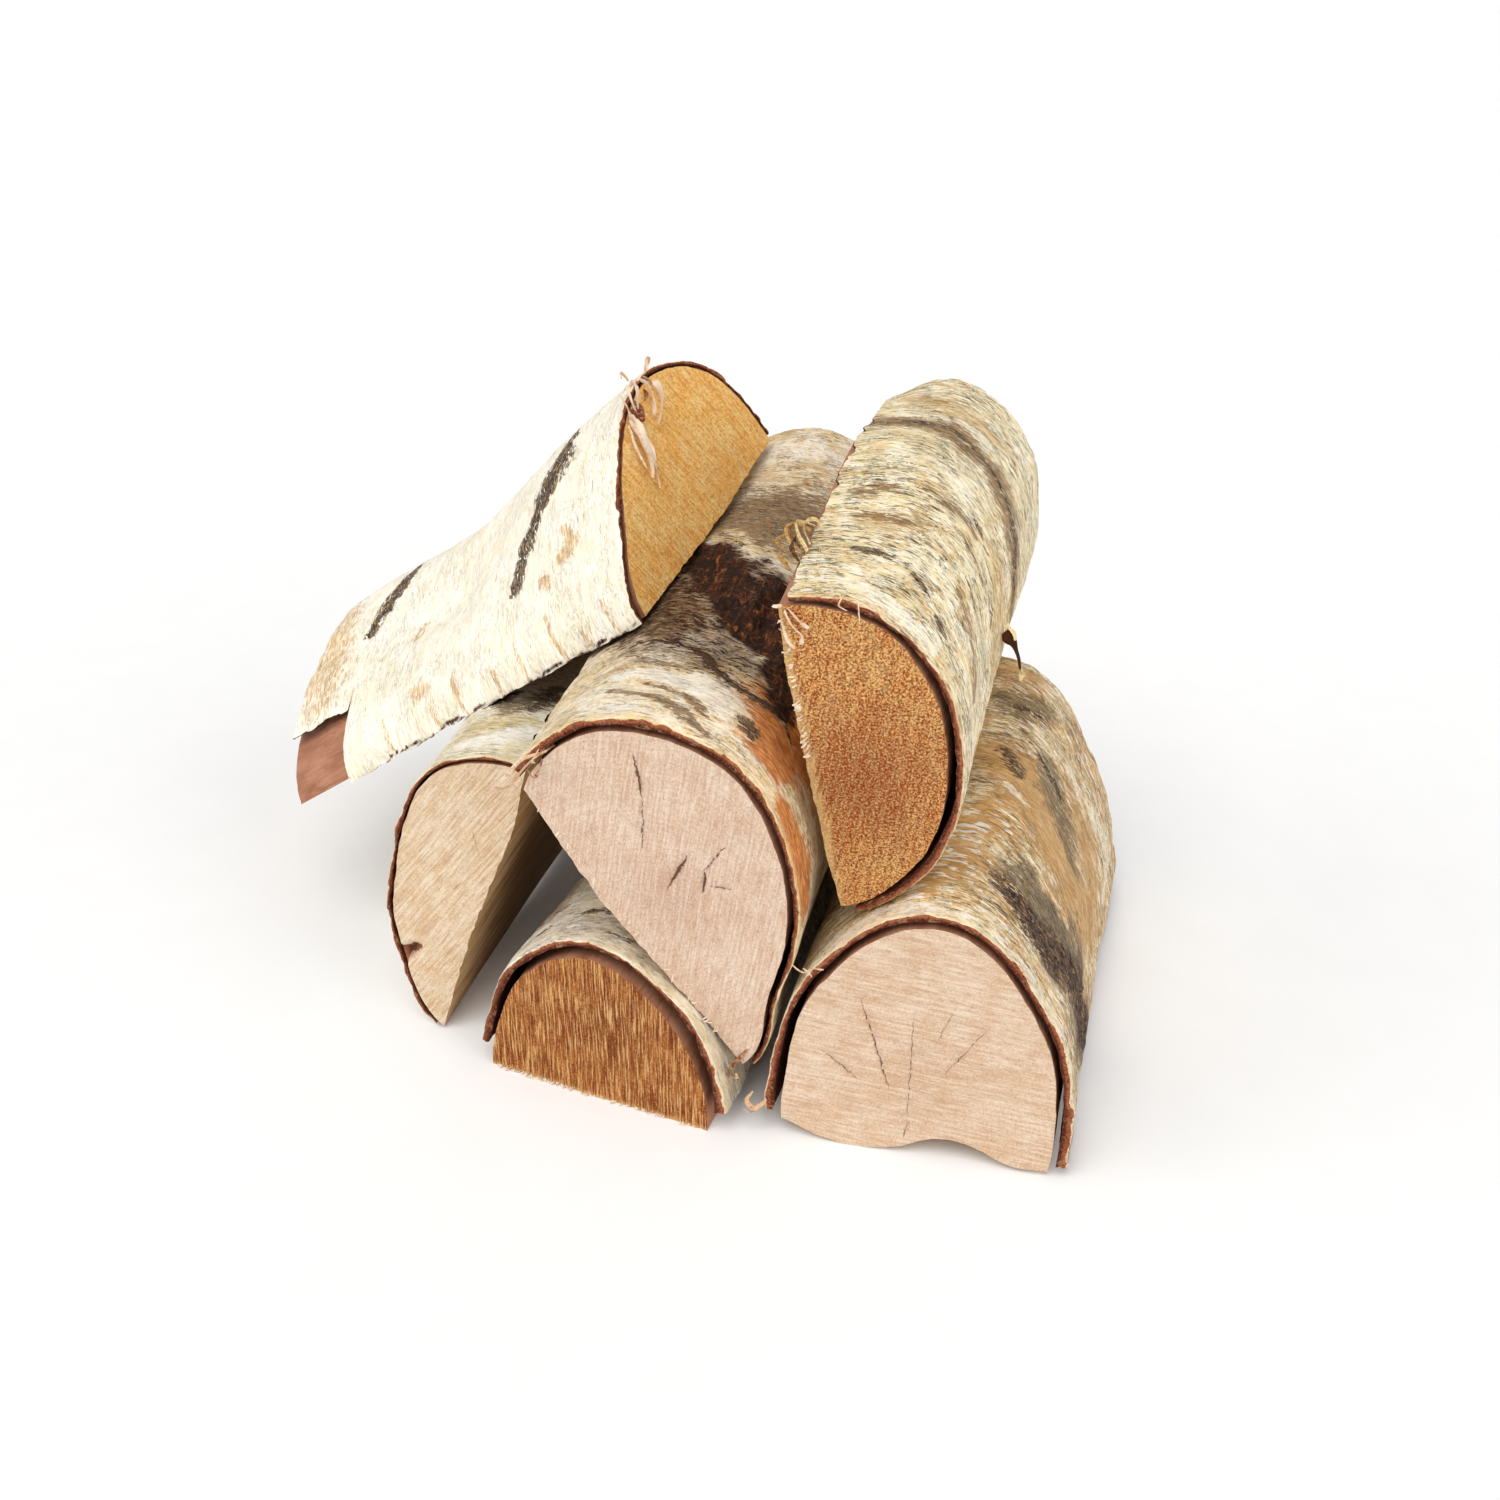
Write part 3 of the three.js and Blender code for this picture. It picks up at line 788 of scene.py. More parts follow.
def ribbon(line, width, thickness, seed):
    """A closed thin strip along a curve through the places of a line, twisting and narrowing to its ends."""
    rows = []
    places = np.array(line, float)
    share = np.linspace(0, 1, RIBBON_STEPS)
    path = np.stack([along(places[:, k], share) for k in range(3)], axis=-1)
    path += 0.35 * np.stack([layered_noise(path, 5, seed + k) for k in range(3)], axis=-1)
    way = np.gradient(path, axis=0)
    way /= np.linalg.norm(way, axis=1)[:, None]
    for k in range(RIBBON_STEPS):
        turn = seed * 1.7 + 1.6 * share[k]
        up = np.array([math.cos(turn), 0.4, math.sin(turn)])
        side = np.cross(way[k], up)
        side /= np.linalg.norm(side)
        out = np.cross(way[k], side)
        half = 0.5 * width * (0.35 + 0.65 * math.sin(math.pi * (0.12 + 0.8 * share[k])))
        deep = 0.5 * thickness * (0.5 + 0.5 * math.sin(math.pi * (0.1 + 0.8 * share[k])))
        corners = (side * half, out * deep, -side * half, -out * deep)
        rows.append([path[k] + corner for corner in corners])
    points = np.array(rows).reshape(-1, 3)
    numbers = np.arange(len(points)).reshape(RIBBON_STEPS, 4)
    faces = strips(numbers, closed=True)
    faces += [tuple(numbers[0].tolist()), tuple(numbers[-1][::-1].tolist())]
    return points, faces


def fibre_piece(name, log, strands, material):
    """Several ribbons as one piece; a strand is its line, width, thickness and shade."""
    points, faces, shades = [], [], []
    total = 0
    for k, (line, width, thickness, shade) in enumerate(strands):
        strip, strip_faces = ribbon(line, width, thickness, k + len(name))
        points.append(strip)
        faces += [tuple(number + total for number in face) for face in strip_faces]
        shades.append(np.full(len(strip), shade))
        total += len(strip)
    fields = {"shade": np.concatenate(shades)}
    kinds = [0] * len(faces)
    piece = make_piece(name, log, np.concatenate(points), faces, fields, [material], kinds, sharp=60)
    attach(piece, "root")


def fuzz_strands(slant, span, count, fall, width):
    """Short fibres that stand off the lower edge of a sawn end."""
    rng = np.random.default_rng(count)
    strands = []
    for x in rng.uniform(*span, count):
        lean = rng.uniform(-2.5, 2.5)
        reach = rng.uniform(0.8, 2.6)
        drop = fall * rng.uniform(0.3, 1)
        cut = slant * x
        line = [(x, cut + 0.5, 1.2), (x + lean * 0.5, cut - reach * 0.7, 0.9 - drop * 0.4),
                (x + lean, cut - reach, 0.6 - drop)]
        strands.append((line, width * rng.uniform(0.6, 1.2), 0.5, rng.uniform(-0.2, 0.3)))
    return strands


def make_fibres(logs):
    pale = fibre_material("pale", 0xF0DCC4, 0xD9AE84, 0x7A3A20)
    tan = fibre_material("tan", 0xE8D29C, 0xB98C4C, 0x4E2A14)
    for name, (log_name, part, strands) in FIBRES.items():
        material = tan if name in TAN_FIBRES else pale
        fibre_piece(name, logs[log_name], strands, material)
    for log_name, span, count, fall, width in FUZZ:
        strands = fuzz_strands(logs[log_name].slant, span, count, fall, width)
        fibre_piece(f"{log_name}_fuzz", logs[log_name], strands, pale)


# Materials

class Shader:
    """A node material under construction; its base is the colour that the layers of paint build up."""

    def __init__(self, name, roughness, specular=0.3):
        self.material = bpy.data.materials.new(name)
        self.material.use_nodes = True
        self.nodes = self.material.node_tree.nodes
        self.links = self.material.node_tree.links
        self.surface = self.nodes["Principled BSDF"]
        self.surface.inputs["Roughness"].default_value = roughness
        self.surface.inputs["Specular IOR Level"].default_value = specular
        self.fields = {}
        self.base = None

    def put(self, socket, value):
        if isinstance(value, bpy.types.NodeSocket):
            self.links.new(value, socket)
        else:
            socket.default_value = value

    def field(self, name):
        """A point attribute: the place in the log's axes, called grain, or a value."""
        if name not in self.fields:
            node = self.nodes.new("ShaderNodeAttribute")
            node.attribute_name = name
            self.fields[name] = node.outputs["Vector" if name == "grain" else "Fac"]
        return self.fields[name]

    def place(self):
        """X, Y and Z in the log's axes, in millimetres."""
        node = self.nodes.new("ShaderNodeSeparateXYZ")
        self.put(node.inputs[0], self.field("grain"))
        return node.outputs

    def noise(self, size, detail=3, roughness=0.55, distortion=0, over=None):
        """Noise from 0 to 1 with features of the size given for each axis, over the grain or a vector."""
        scaled = self.nodes.new("ShaderNodeVectorMath")
        scaled.operation = "MULTIPLY"
        self.put(scaled.inputs[0], self.field("grain") if over is None else over)
        scaled.inputs[1].default_value = [1 / s for s in size]
        node = self.nodes.new("ShaderNodeTexNoise")
        self.put(node.inputs["Vector"], scaled.outputs[0])
        node.inputs["Scale"].default_value = 1
        node.inputs["Detail"].default_value = detail
        node.inputs["Roughness"].default_value = roughness
        node.inputs["Distortion"].default_value = distortion
        return node.outputs["Fac"]

    def maths(self, operation, *values):
        node = self.nodes.new("ShaderNodeMath")
        node.operation = operation
        for socket, value in zip(node.inputs, values):
            self.put(socket, value)
        return node.outputs[0]

    def times(self, a, b):
        return self.maths("MULTIPLY", a, b)

    def total(self, *terms):
        """The sum of values, each multiplied by its share."""
        out = self.times(*terms[0])
        for value, share in terms[1:]:
            out = self.maths("MULTIPLY_ADD", value, share, out)
        return out

    def step(self, value, low, high):
        """0 below low and 1 above high, smooth between; the other way round when low is above high."""
        node = self.nodes.new("ShaderNodeMapRange")
        node.interpolation_type = "SMOOTHSTEP"
        self.put(node.inputs["Value"], value)
        node.inputs["From Min"].default_value = low
        node.inputs["From Max"].default_value = high
        return node.outputs["Result"]

    def folds(self, value, wide, thin):
        """1 on the thin lines along which a noise passes its middle."""
        return self.step(self.maths("ABSOLUTE", self.maths("SUBTRACT", value, 0.5)), wide, thin)

    def mix(self, share, a, b):
        node = self.nodes.new("ShaderNodeMix")
        node.data_type = "RGBA"
        self.put(node.inputs["Factor"], share)
        self.put(node.inputs["A"], colour(a) if isinstance(a, int) else a)
        self.put(node.inputs["B"], colour(b) if isinstance(b, int) else b)
        return node.outputs["Result"]

    def turn(self, value, low, high, a, b):
        """Paint a that turns into b as the value goes from low to high."""
        return self.mix(self.step(value, low, high), a, b)

    def lay(self, mask, paint, share=1):
        """Lays that share of a paint on the base inside the mask."""
        self.base = self.mix(self.times(mask, share), self.base, paint)

    def tint(self, value, low, high, paint, share=1):
        """Lays paint on the base as the value goes from low to high."""
        self.lay(self.step(value, low, high), paint, share)

    def finish(self, heights, depth, roughness=None):
        """Sets the base colour and a bump of that depth in millimetres from (value, share) pairs."""
        node = self.nodes.new("ShaderNodeBump")
        node.inputs["Distance"].default_value = depth * MM
        node.inputs["Strength"].default_value = 1
        self.put(node.inputs["Height"], self.total(*heights))
        self.put(self.surface.inputs["Base Color"], self.base)
        self.put(self.surface.inputs["Normal"], node.outputs["Normal"])
        if roughness is not None:
            self.put(self.surface.inputs["Roughness"], roughness)
        return self.material


def bark_material(name, look):
    """Birch bark: mottled papery skin, wrinkles and flecks round the trunk, scars, stains and torn places; on
    the middle log some torn and grey marks are painted shade.
    """
    sh = Shader(f"{name}_bark_skin", 0.6)
    blotch = sh.noise((30, 34, 30), 5, 0.65, 0.5)
    patches = sh.noise((14, 8, 14), 6, 0.65, 0.9)
    streaks = sh.noise((11, 2.3, 11), 3, 0.5, 0.4)
    grit = sh.noise((1.5, 1.1, 1.5), 3, 0.6, 0.3)
    sh.base = sh.turn(blotch, 0.42, 0.58, look.pale, look.mid)
    sh.tint(patches, 0.50, 0.60, look.tan, look.patch)
    sh.tint(streaks, 0.52, 0.62, look.deep, look.streak)
    sh.tint(grit, 0.54, 0.64, look.deep, look.grit)
    sh.tint(streaks, 0.45, 0.39, look.light, look.shine)

    busy = sh.step(sh.noise((22, 12, 22), 4, 0.6), 0.40, 0.58)
    wrinkle = sh.times(sh.folds(sh.noise((11, 2.6, 11), 4, 0.6, 0.8), 0.022, 0.006), busy)
    crease = sh.times(sh.folds(sh.noise((4.5, 1.3, 4.5), 4, 0.65, 0.6), 0.035, 0.012), busy)
    flecks = sh.noise((3.2, 1.2, 3.2), 3, 0.6, 0.5)
    sh.tint(flecks, 0.60, 0.64, look.ink, look.short)
    sh.tint(flecks, 0.41, 0.37, look.light, look.shine)
    sh.lay(crease, look.ink, look.crease)
    sh.lay(wrinkle, look.ink, look.wrinkle)

    where = sh.noise((20, 14, 20), 3, 0.6)
    dash = sh.total((sh.noise((5.5, 0.62, 5.5), 2, 0.5, 0.15), 1), (where, 0.22))
    thin = sh.step(dash, 0.775 - look.dashes, 0.805 - look.dashes)
    stroke = sh.total((sh.noise((10, 1.7, 10), 4, 0.6, 0.5), 1), (where, 0.2))
    wide = sh.step(stroke, 0.80 - look.strokes, 0.83 - look.strokes)
    sh.lay(thin, look.ink, 0.75)
    sh.lay(wide, look.ink, 0.8)

    ragged = sh.noise((4.5, 2.4, 4.5), 6, 0.75, 0.6)
    lines = sh.noise((6, 1.2, 6), 4, 0.65, 0.5)
    rough = sh.total((ragged, 0.5), (lines, 0.5))

    def cover(kind, low, high, gain=7):
        """Where a kind of mark covers the bark, broken up by the rough noise."""
        field = sh.field(kind)
        raised = sh.total((field, 1), (rough, gain), (1, -ROUGH_MEAN * gain))
        return sh.times(sh.step(raised, low, high), sh.step(field, 0, 0.2))

    sh.tint(sh.field("stain"), 0, 1, look.stain, look.wash)
    stain = sh.turn(lines, 0.44, 0.56, look.stain, look.stain_deep)
    sh.lay(cover("stain", 0.45, 0.85, 9), stain, look.stained)
    white = sh.turn(lines, 0.50, 0.58, look.white, look.pale)
    sh.lay(cover("white", 0.45, 0.75, 9), white, 0.8)
    # Grey marks are grey-brown bark; on the middle log the two wide ones are partly painted shade.
    sh.tint(sh.field("grey"), 0, 1, look.grey, 0.35)
    grey = sh.turn(ragged, 0.42, 0.56, look.grey_deep, look.grey)
    sh.lay(cover("grey", 0.42, 0.7, 8), grey, 0.85)
    comb = sh.turn(sh.noise((11, 2.6, 11), 2, 0.5, 0.2), 0.40, 0.44, look.white, look.tan)
    sh.lay(cover("peel", 0.42, 0.7), comb, 0.8)
    scar = cover("scar", 0.42, 0.58)
    scar_paint = sh.turn(ragged, 0.46, 0.60, look.scar_deep, look.scar)
    sh.lay(scar, sh.turn(lines, 0.55, 0.62, scar_paint, look.scar_fleck))
    # Torn places get a brown wash, dark fibrous paint and dark chips: the brown of torn bark, and painted
    # shade over the middle log's wide torn mark.
    sh.tint(sh.field("torn"), 0, 1, TORN_BROWN_AND_SHADE)
    torn = cover("torn", 0.58, 0.95, 5.5)
    fibre = sh.noise((3.2, 9, 3.2), 5, 0.65, 1.2)
    torn_paint = sh.turn(fibre, 0.46, 0.56, TORN_DEEP, TORN)
    sh.lay(torn, sh.turn(fibre, 0.58, 0.64, torn_paint, TORN_LIGHT))
    chips = sh.step(sh.noise((6, 4.5, 6), 5, 0.7, 1.0), 0.57, 0.63)
    sh.lay(sh.times(chips, sh.step(sh.field("torn"), 0, 1)), CHIP, 0.7)
    rim = sh.total((sh.place()[1], 1), (ragged, -5))
    sh.tint(rim, 0.8, -2, look.rim, look.rim_share)

    heights = [(streaks, 0.5), (thin, -0.25), (flecks, 0.25), (grit, 0.2), (wrinkle, -0.3), (wide, -0.35),
               (sh.times(scar, rough), 1.6), (sh.times(torn, fibre), 2.2)]
    return sh.finish(heights, 0.6, sh.total((streaks, 0.25), (1, 0.5)))


def bark_edge_material(name, rim):
    """The broken and sawn edges of the bark: a pale papery skin over layers of red-brown cork, with painted
    shade in its pits and behind the front end.
    """
    sh = Shader(f"{name}_bark_edge", 0.85, 0.15)
    crumbs = sh.noise((1.3, 1.3, 1.3), 5, 0.8, 0.4)
    layers = sh.noise((6, 1.2, 6), 4, 0.7, 0.3)
    depth = sh.total((sh.field("depth"), 1), (layers, 0.9), (1, -0.45))
    sh.base = sh.turn(depth, 0.30, 0.80, CORK, CORK_DARK)
    sh.tint(layers, 0.54, 0.62, CORK_PALE, 0.5)
    # Painted shade in the cork's pits, where the crumbs noise is low and the bump sinks.
    sh.tint(crumbs, 0.48, 0.40, CORK_PIT_SHADE, 0.75)
    sh.tint(crumbs, 0.56, 0.64, CORK_PALE, 0.45)
    sh.tint(depth, 0.10, 0.02, rim, 0.9)
    # Painted shade: the bark's edges and inside darken from 1.5 mm to 9 mm behind the front end, where the
    # slot between bark and wood is shaded.
    sh.tint(sh.place()[1], 1.5, 9, CORK_PAINTED_SHADE, 0.8)
    return sh.finish([(crumbs, 1), (layers, 0.6)], 0.8)


def line_mask(sh, x, z, start, end, width, wobble):
    """1 inside a thin tapering line between two places of a sawn end."""
    dx, dz = end[0] - start[0], end[1] - start[1]
    length = math.hypot(dx, dz)
    ux, uz = dx / length, dz / length
    rx = sh.maths("SUBTRACT", x, float(start[0]))
    rz = sh.maths("SUBTRACT", z, float(start[1]))
    share = sh.times(sh.total((rz, uz), (rx, ux)), 1 / length)
    off = sh.maths("ABSOLUTE", sh.total((rz, ux), (rx, -uz), (wobble, 1)))
    bulge = sh.times(sh.times(share, sh.maths("SUBTRACT", 1.0, share)), 4.0)
    half = sh.times(sh.maths("POWER", sh.maths("MAXIMUM", bulge, 0.0), 0.5), width / 2)
    return sh.step(sh.maths("SUBTRACT", half, off), 0, 0.25)


def end_grain_material(name, look):
    """A sawn end: torn pores, saw lines, a redder heart, faint year rings, specks and cracks."""
    sh = Shader(f"{name}_end_grain", 0.78, 0.2)
    x, _, z = sh.place()

    def away(at_x, at_z):
        across = sh.maths("SUBTRACT", x, float(at_x))
        up = sh.maths("SUBTRACT", z, float(at_z))
        return sh.maths("SQRT", sh.maths("ADD", sh.times(across, across), sh.times(up, up)))

    patches = sh.noise((20, 60, 20), 4, 0.6, 0.3)
    pores = sh.noise((look.pore, 30, look.pore), 5, 0.75, 0.3)
    clumps = sh.noise((4.2, 40, 4.2), 4, 0.7, 0.4)
    soft = 2 * look.pattern
    sh.base = sh.turn(patches, 0.40, 0.60, look.face, look.face_mid)
    heart_x, heart_z, reach, share = look.heart
    heart = sh.step(sh.total((away(heart_x, heart_z), 1), (patches, 30)), reach + 20, 10)
    sh.lay(heart, look.face_deep, share)
    sh.tint(clumps, 0.50, 0.50 + soft, look.face_deep, look.speck * 0.6)
    sh.tint(pores, 0.51, 0.51 + soft, look.face_deep, look.speck)
    sh.tint(pores, 0.48, 0.48 - soft, look.face_light, look.fleck)

    turn = math.radians(look.saw_angle)
    saw = sh.nodes.new("ShaderNodeCombineXYZ")
    sh.put(saw.inputs[0], sh.total((z, math.sin(turn)), (x, math.cos(turn))))
    sh.put(saw.inputs[1], sh.total((x, -math.sin(turn)), (z, math.cos(turn))))
    lines = sh.noise((look.saw_line, 22, 1), 4, 0.7, 0.1, over=saw.outputs[0])
    sh.tint(lines, 0.51, 0.51 + soft, look.face_deep, look.saw_dark)
    sh.tint(lines, 0.48, 0.48 - soft, look.face_light, look.saw_pale)
    sh.lay(heart, look.face_deep, max(share - 0.5, 0))

    from_pith = sh.total((away(*look.pith), 1), (sh.noise((22, 60, 22), 2), 9))
    rings = sh.maths("SINE", sh.times(from_pith, 2 * math.pi / YEAR_RING))
    sh.tint(rings, 0.3, 1, look.face_deep, look.ring)
    specks = sh.total((sh.noise((1.1, 30, 1.1), 2, 0.5), 1), (sh.noise((16, 50, 16), 3, 0.6), 0.35))
    sh.tint(specks, 0.90, 0.96, look.dot, look.dots)
    sh.tint(sh.total((z, 1), (lines, 9)), 8.5, 4, look.face_light, look.foot)

    heights = [(lines, 0.6), (pores, -0.8), (clumps, -0.9), (sh.noise((0.55, 30, 0.55), 3, 0.7), 0.5)]
    bend = sh.total((sh.noise((5, 30, 5), 5, 0.75), 4.4), (1, -2.2))
    broken = sh.step(sh.noise((3.2, 30, 3.2), 3, 0.7), 0.40, 0.52)
    for start, end, width in CRACKS.get(name, []):
        crack = sh.times(line_mask(sh, x, z, start, end, width, bend), 0.9)
        if width < HAIRLINE:
            crack = sh.times(crack, broken)
        sh.lay(crack, look.crack)
        heights.append((crack, -2))
    return sh.finish(heights, look.rough)


def split_material(name):
    """A split face: long fibres, lighter and darker, running along the log, with painted shade deeper inside
    the stack.
    """
    sh = Shader(f"{name}_split_face", 0.75, 0.2)
    wide = sh.noise((9, 120, 9), 4, 0.6, 0.2)
    thin = sh.noise((1.3, 34, 1.3), 4, 0.65, 0.15)
    flecks = sh.noise((0.7, 7, 0.7), 3, 0.6, 0.1)
    sh.base = sh.turn(wide, 0.38, 0.64, SPLIT, SPLIT_MID)
    sh.tint(thin, 0.50, 0.70, SPLIT_DEEP, 0.65)
    sh.tint(thin, 0.46, 0.28, SPLIT_LIGHT, 0.55)
    sh.tint(flecks, 0.62, 0.74, SPLIT_DEEP, 0.35)
    # Painted shade: the split face turns darker further from the front end, deep inside the stack.
    sh.tint(sh.total((sh.place()[1], 1), (wide, 60)), 38, 105, SPLIT_PAINTED_SHADE, 0.7)
    return sh.finish([(thin, 1), (flecks, 0.4)], 0.8)


def under_bark_material(name):
    """The smooth round side of the wood where the bark is off."""
    sh = Shader(f"{name}_under_bark", 0.6, 0.25)
    wide = sh.noise((12, 30, 12), 4, 0.6, 0.3)
    thin = sh.noise((1.5, 22, 1.5), 4, 0.65, 0.2)
    sh.base = sh.turn(wide, 0.36, 0.66, 0xB98468, 0x9C6549)
    sh.tint(thin, 0.5, 0.7, 0x74452E, 0.5)
    return sh.finish([(thin, 1)], 0.4)


def fibre_material(name, pale, mid, deep):
    """Loose fibre, from pale to red-brown by the shade of each strand."""
    sh = Shader(f"fibre_{name}", 0.7, 0.2)
    mottle = sh.noise((2, 2, 2), 4, 0.7)
    shade = sh.total((sh.field("shade"), 1), (mottle, 1.6), (1, -0.8))
    sh.base = sh.turn(shade, 0.05, 0.5, pale, mid)
    sh.tint(shade, 0.5, 0.95, deep)
    return sh.finish([(mottle, 1)], 0.4)


# Cork of the bark's edges, torn bark and split wood are the same colours on every log. Painted shade is among
# them: the cork's dark pits, the cork darkening behind the front end, the wash over torn places round the
# middle log's hollow, and the split wood darkening deep in the stack.
CORK, CORK_DARK, CORK_PALE, CORK_PIT_SHADE, CORK_PAINTED_SHADE = 0xAA6040, 0x5A2A18, 0xCE9670, 0x351409, 0x4A2412
TORN, TORN_DEEP, TORN_LIGHT, TORN_BROWN_AND_SHADE, CHIP = 0x55290F, 0x210D05, 0xA2602E, 0x643C20, 0x2A1208
SPLIT, SPLIT_MID, SPLIT_DEEP, SPLIT_LIGHT, SPLIT_PAINTED_SHADE = 0xDDBE92, 0xC89E6A, 0x8C5F34, 0xEED9B4, 0x6A4424

# The mean of the noise that breaks up the marks, the width of a year ring and of a broken-up crack.
ROUGH_MEAN = 0.485
YEAR_RING = 3.4
HAIRLINE = 1

# Colours of the bark and shares of what lies on it, with a value for each log in the order of LOGS.
# Dashes and strokes say how far the noise's height from which these marks show is lowered.
BARKS = dict(
    scar=(0x7E6852, 0x6C4E38, 0x7E6852, 0x7E6852, 0x7E6852, 0x7E6852),
    scar_deep=(0x33251A, 0x26170E, 0x33251A, 0x33251A, 0x33251A, 0x33251A),
    scar_fleck=(0xB8976E, 0xA07E58, 0xB8976E, 0xB8976E, 0xB8976E, 0xB8976E),
    pale=(0xF0E7D6, 0xEAD4A6, 0xF2E8CE, 0xF5E6C8, 0xFBEFCC, 0xFBF4E4),
    mid=(0xE6DAC0, 0xD6B078, 0xE7D9B2, 0xE9D0A0, 0xF2DFB0, 0xF6EDD6),
    deep=(0xC0A880, 0x9E7642, 0xC6AE80, 0xB28E60, 0xC8A56C, 0xE6D4AE),
    light=(0xFBF7EE, 0xFAF0DE, 0xFAF6EA, 0xFAF3E4, 0xFFFAEC, 0xFFFCF2),
    ink=(0x6E5A40, 0x46341E, 0x7C6446, 0x5E4630, 0x574228, 0xBEA684),
    tan=(0xD2B68A, 0xCD9B5A, 0xD8BE8A, 0xD3A66C, 0xE0BC82, 0xE6D5B2),
    stain=(0xCCA470, 0xD2A25E, 0xDEC88C, 0xDC8C44, 0xD8B374, 0xE4C27E),
    stain_deep=(0x966636, 0xA06C36, 0xB49458, 0xA0541E, 0xA67A42, 0xB27A44),
    white=(0xFCFAF4, 0xFAF4E8, 0xFCFAF4, 0xFBF5EA, 0xFBF7EC, 0xFFFFFF),
    grey=(0x947A58, 0x86704E, 0x8C7250, 0x957650, 0x9C7648, 0xA09484),
    grey_deep=(0x584028, 0x3E2E1C, 0x4A3420, 0x4E3722, 0x543A20, 0x776A5A),
    rim=(0xE6D2A8, 0xF0DCB8, 0xE0CC98, 0xE6CC94, 0xD8AE7C, 0xE2C49C),
    rim_share=(0.5, 0.75, 0.5, 0.6, 0.5, 0.45),
    patch=(0.4, 0.75, 0.35, 0.5, 0.75, 0.25),
    streak=(0.36, 0.4, 0.32, 0.28, 0.25, 0.16),
    wrinkle=(0.5, 0.85, 0.4, 0.5, 0.9, 0.16),
    crease=(0.35, 0.3, 0.25, 0.15, 0.16, 0.06),
    shine=(0.6, 0.75, 0.5, 0.6, 0.5, 0.5),
    short=(0.4, 0.5, 0.3, 0.25, 0.2, 0.06),
    dashes=(0.03, 0.05, 0.01, 0.03, 0.06, 0.0),
    strokes=(0.02, 0.085, 0.0, 0.03, 0.095, -0.03),
    grit=(0.25, 0.45, 0.2, 0.3, 0.2, 0.1),
    wash=(0.5, 0.6, 0.5, 0.75, 0.5, 0.5),
    stained=(0.6, 0.5, 0.6, 0.7, 0.5, 0.6),
)

# Colours, sizes and shares of the sawn ends. A heart is its place (x, z), reach and share.
FACES = dict(
    face=(0xD28440, 0xE1C8AE, 0xE6D0B2, 0xE4CBB2, 0xF6B668, 0xFFD480),
    face_mid=(0xB46228, 0xD8B99A, 0xDEC19C, 0xDDBFA4, 0xEE9A48, 0xFEC060),
    face_deep=(0x6C2A06, 0xB98A66, 0xBC8C64, 0xB4826A, 0x9C3E0C, 0xDE8C38),
    face_light=(0xF9C886, 0xF4E4D0, 0xF6E8D2, 0xF4E6D6, 0xFFDC98, 0xFFE6A8),
    dot=(0x5E2A10, 0xB47A56, 0xA86C48, 0x9A5844, 0x6A2A0C, 0xA65E1E),
    crack=(0x3A1C0C, 0x8A5638, 0x8A5430, 0x71392A, 0x4A2410, 0x5A3418),
    pore=(1.2, 1.1, 1.1, 1.1, 1.05, 1.5),
    speck=(0.45, 0.4, 0.4, 0.4, 1.0, 0.75),
    fleck=(0.4, 0.45, 0.5, 0.5, 0.95, 0.7),
    saw_angle=(0, 88, 71, 45, 70, 8),
    saw_line=(0.85, 1.5, 1.4, 1.1, 1.8, 1.2),
    saw_dark=(0.75, 0.34, 0.45, 0.30, 0.2, 0.50),
    saw_pale=(0.9, 0.4, 0.5, 0.4, 0.2, 0.35),
    ring=(0.0, 0.08, 0.0, 0.10, 0.0, 0.0),
    dots=(0.4, 0.4, 0.45, 0.95, 1.0, 0.7),
    pith=((0, -10), (-2, 8), (0, -10), (4, 12), (0, -20), (10, -20)),
    rough=(1.5, 0.4, 0.4, 0.4, 1.4, 0.9),
    heart=((8, 46, 34, 0.4), (0, 40, 40, 0.3), (0, 10, 20, 0.0), (-4, 30, 34, 0.38),
           (8, 22, 52, 0.85), (30, 20, 34, 0.1)),
    foot=(0.8, 0.0, 0.0, 0.0, 0.5, 0.0),
    pattern=(0.04, 0.05, 0.05, 0.05, 0.022, 0.04),
)


def look_of(table, log):
    """A log's own values from a table with one for each log."""
    column = LOGS.index(log)
    return SimpleNamespace(**{key: values[column] for key, values in table.items()})


def make_log(log):
    skin, face = look_of(BARKS, log), look_of(FACES, log)
    log.saw_angle = face.saw_angle
    bark_piece(log, [bark_material(log.name, skin), bark_edge_material(log.name, skin.rim)])
    wood = [end_grain_material(log.name, face), split_material(log.name), under_bark_material(log.name)]
    wood_piece(log, wood)


# Camera, floor and light

CAMERA_PLACE = (0.2588, -0.7889, 0.606)
CAMERA_AZIMUTH = 16
CAMERA_ELEVATION = 30
LENS = 43.2
SENSOR = 36
FLOOR_HALF = 45

# The sky's strength, and the lights: name, where the light comes from, strength, spread in degrees and tint.
SKY = 0.46
LIGHTS = [
    ("key", (-0.05, -0.48, 0.87), 1.55, 45, (1, 0.995, 0.985)),
    ("right", (0.85, -0.35, 0.42), 1.0, 50, (1, 1, 1)),
    ("left", (-0.8, -0.45, 0.4), 0.75, 50, (1, 1, 1)),
]


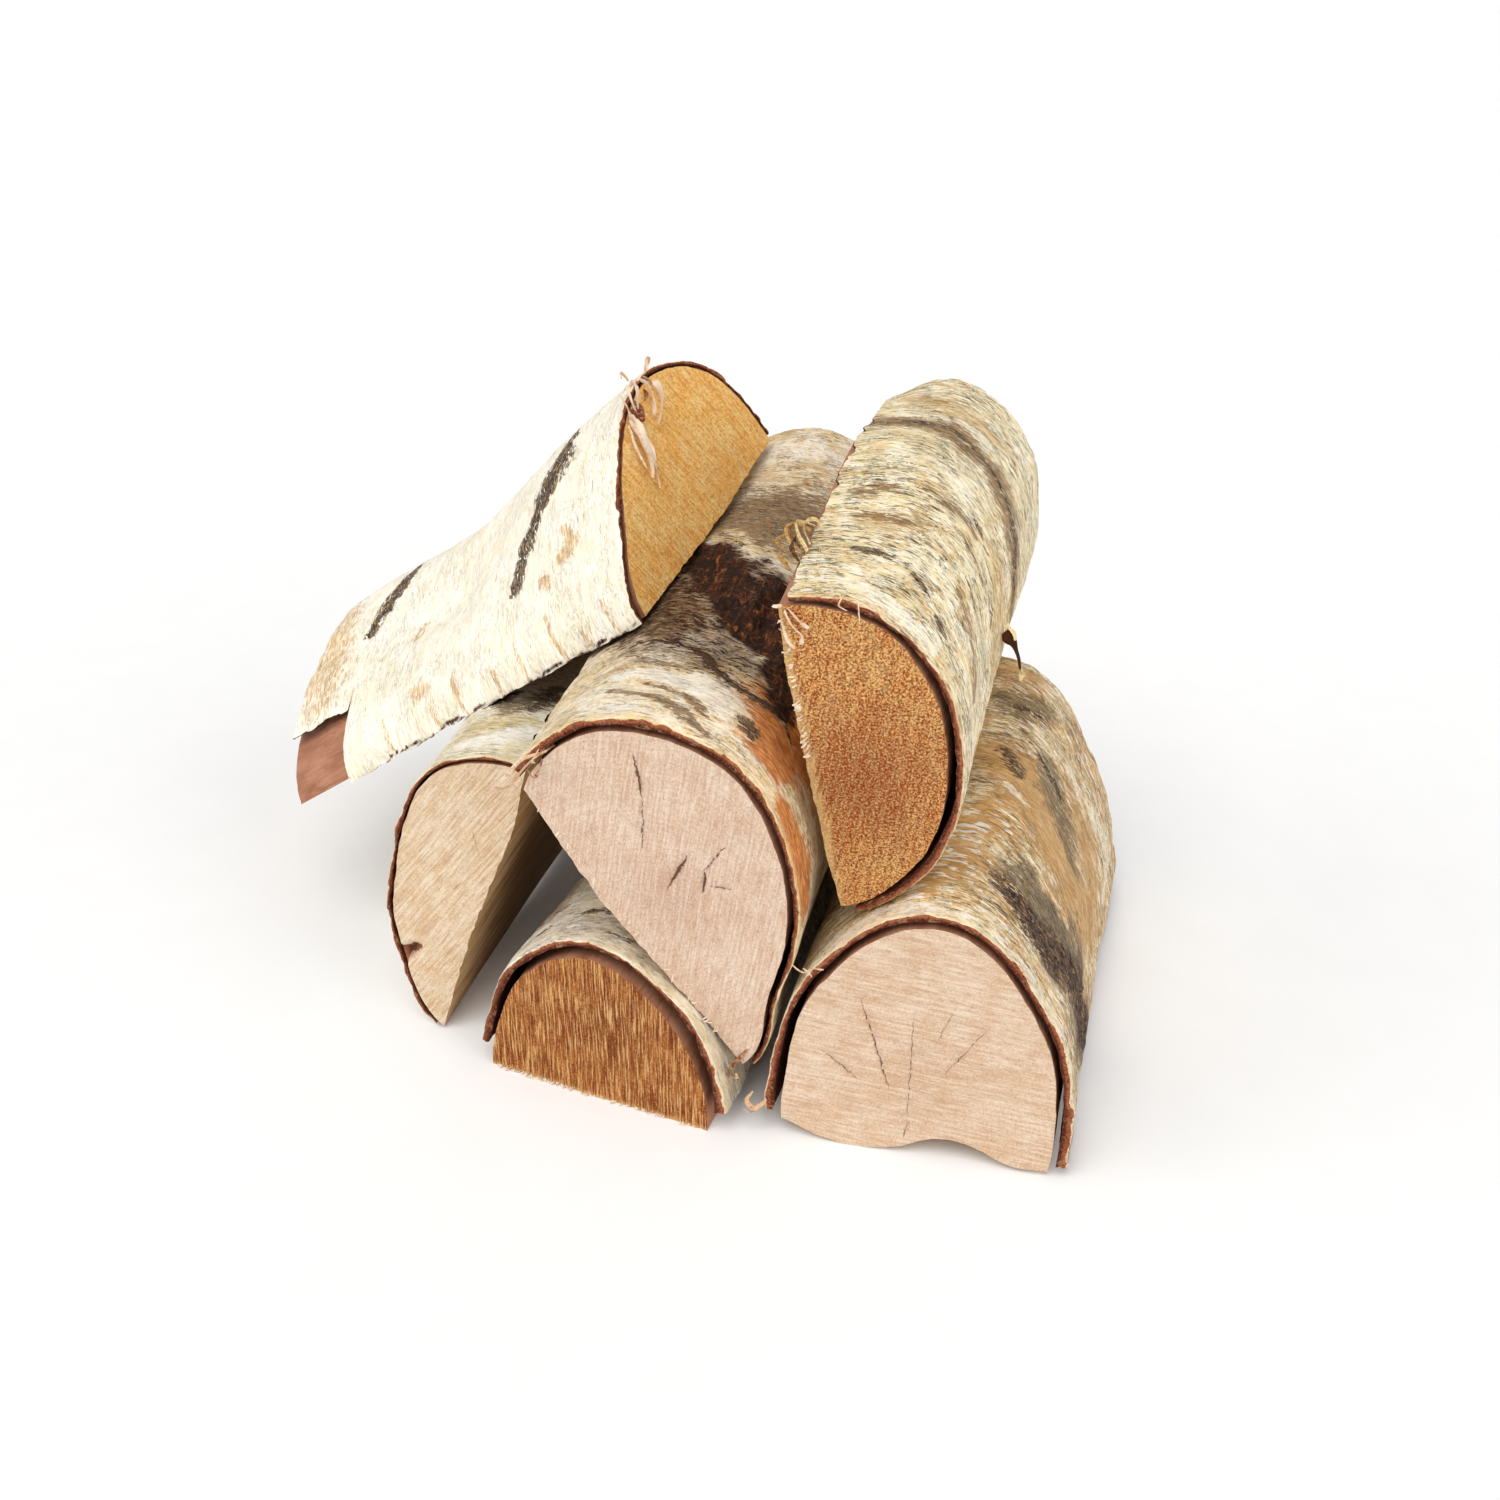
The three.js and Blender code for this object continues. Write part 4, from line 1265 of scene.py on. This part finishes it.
def make_camera():
    data = bpy.data.cameras.new("camera")
    data.lens = LENS
    data.sensor_width = SENSOR
    data.clip_start, data.clip_end = 0.01, 50
    camera = bpy.data.objects.new("camera", data)
    a, e = math.radians(CAMERA_AZIMUTH), math.radians(CAMERA_ELEVATION)
    back = Vector((math.sin(a) * math.cos(e), -math.cos(a) * math.cos(e), math.sin(e)))
    camera.location = CAMERA_PLACE
    camera.rotation_mode = "QUATERNION"
    camera.rotation_quaternion = (-back).to_track_quat("-Z", "Y")
    bpy.context.scene.collection.objects.link(camera)
    bpy.context.scene.camera = camera


def make_floor():
    mesh = bpy.data.meshes.new("floor")
    corners = [(x * FLOOR_HALF, y * FLOOR_HALF, 0) for x, y in ((-1, -1), (1, -1), (1, 1), (-1, 1))]
    mesh.from_pydata(corners, [], [(0, 1, 2, 3)])
    sh = Shader("floor_paper", 0.9, 0.1)
    where = sh.nodes.new("ShaderNodeTexCoord")
    mottle = sh.nodes.new("ShaderNodeTexNoise")
    mottle.inputs["Scale"].default_value = 30
    sh.put(mottle.inputs["Vector"], where.outputs["Object"])
    sh.put(sh.surface.inputs["Base Color"], sh.mix(mottle.outputs["Fac"], 0xF4F4F4, 0xF8F8F8))
    mesh.materials.append(sh.material)
    floor = bpy.data.objects.new("floor", mesh)
    bpy.context.scene.collection.objects.link(floor)


def make_light():
    world = bpy.data.worlds.new("studio")
    world.use_nodes = True
    world.node_tree.nodes["Background"].inputs["Color"].default_value = (1, 1, 1, 1)
    world.node_tree.nodes["Background"].inputs["Strength"].default_value = SKY
    bpy.context.scene.world = world
    for name, way, strength, spread, tint in LIGHTS:
        data = bpy.data.lights.new(name, "SUN")
        data.energy = strength
        data.angle = math.radians(spread)
        data.color = tint
        light = bpy.data.objects.new(name, data)
        light.rotation_mode = "QUATERNION"
        light.rotation_quaternion = Vector(way).to_track_quat("Z", "Y")
        bpy.context.scene.collection.objects.link(light)
    bpy.context.scene.view_settings.view_transform = "Standard"


make_camera()
for split in LOGS:
    make_log(split)
make_fibres({split.name: split for split in LOGS})
make_floor()
make_light()
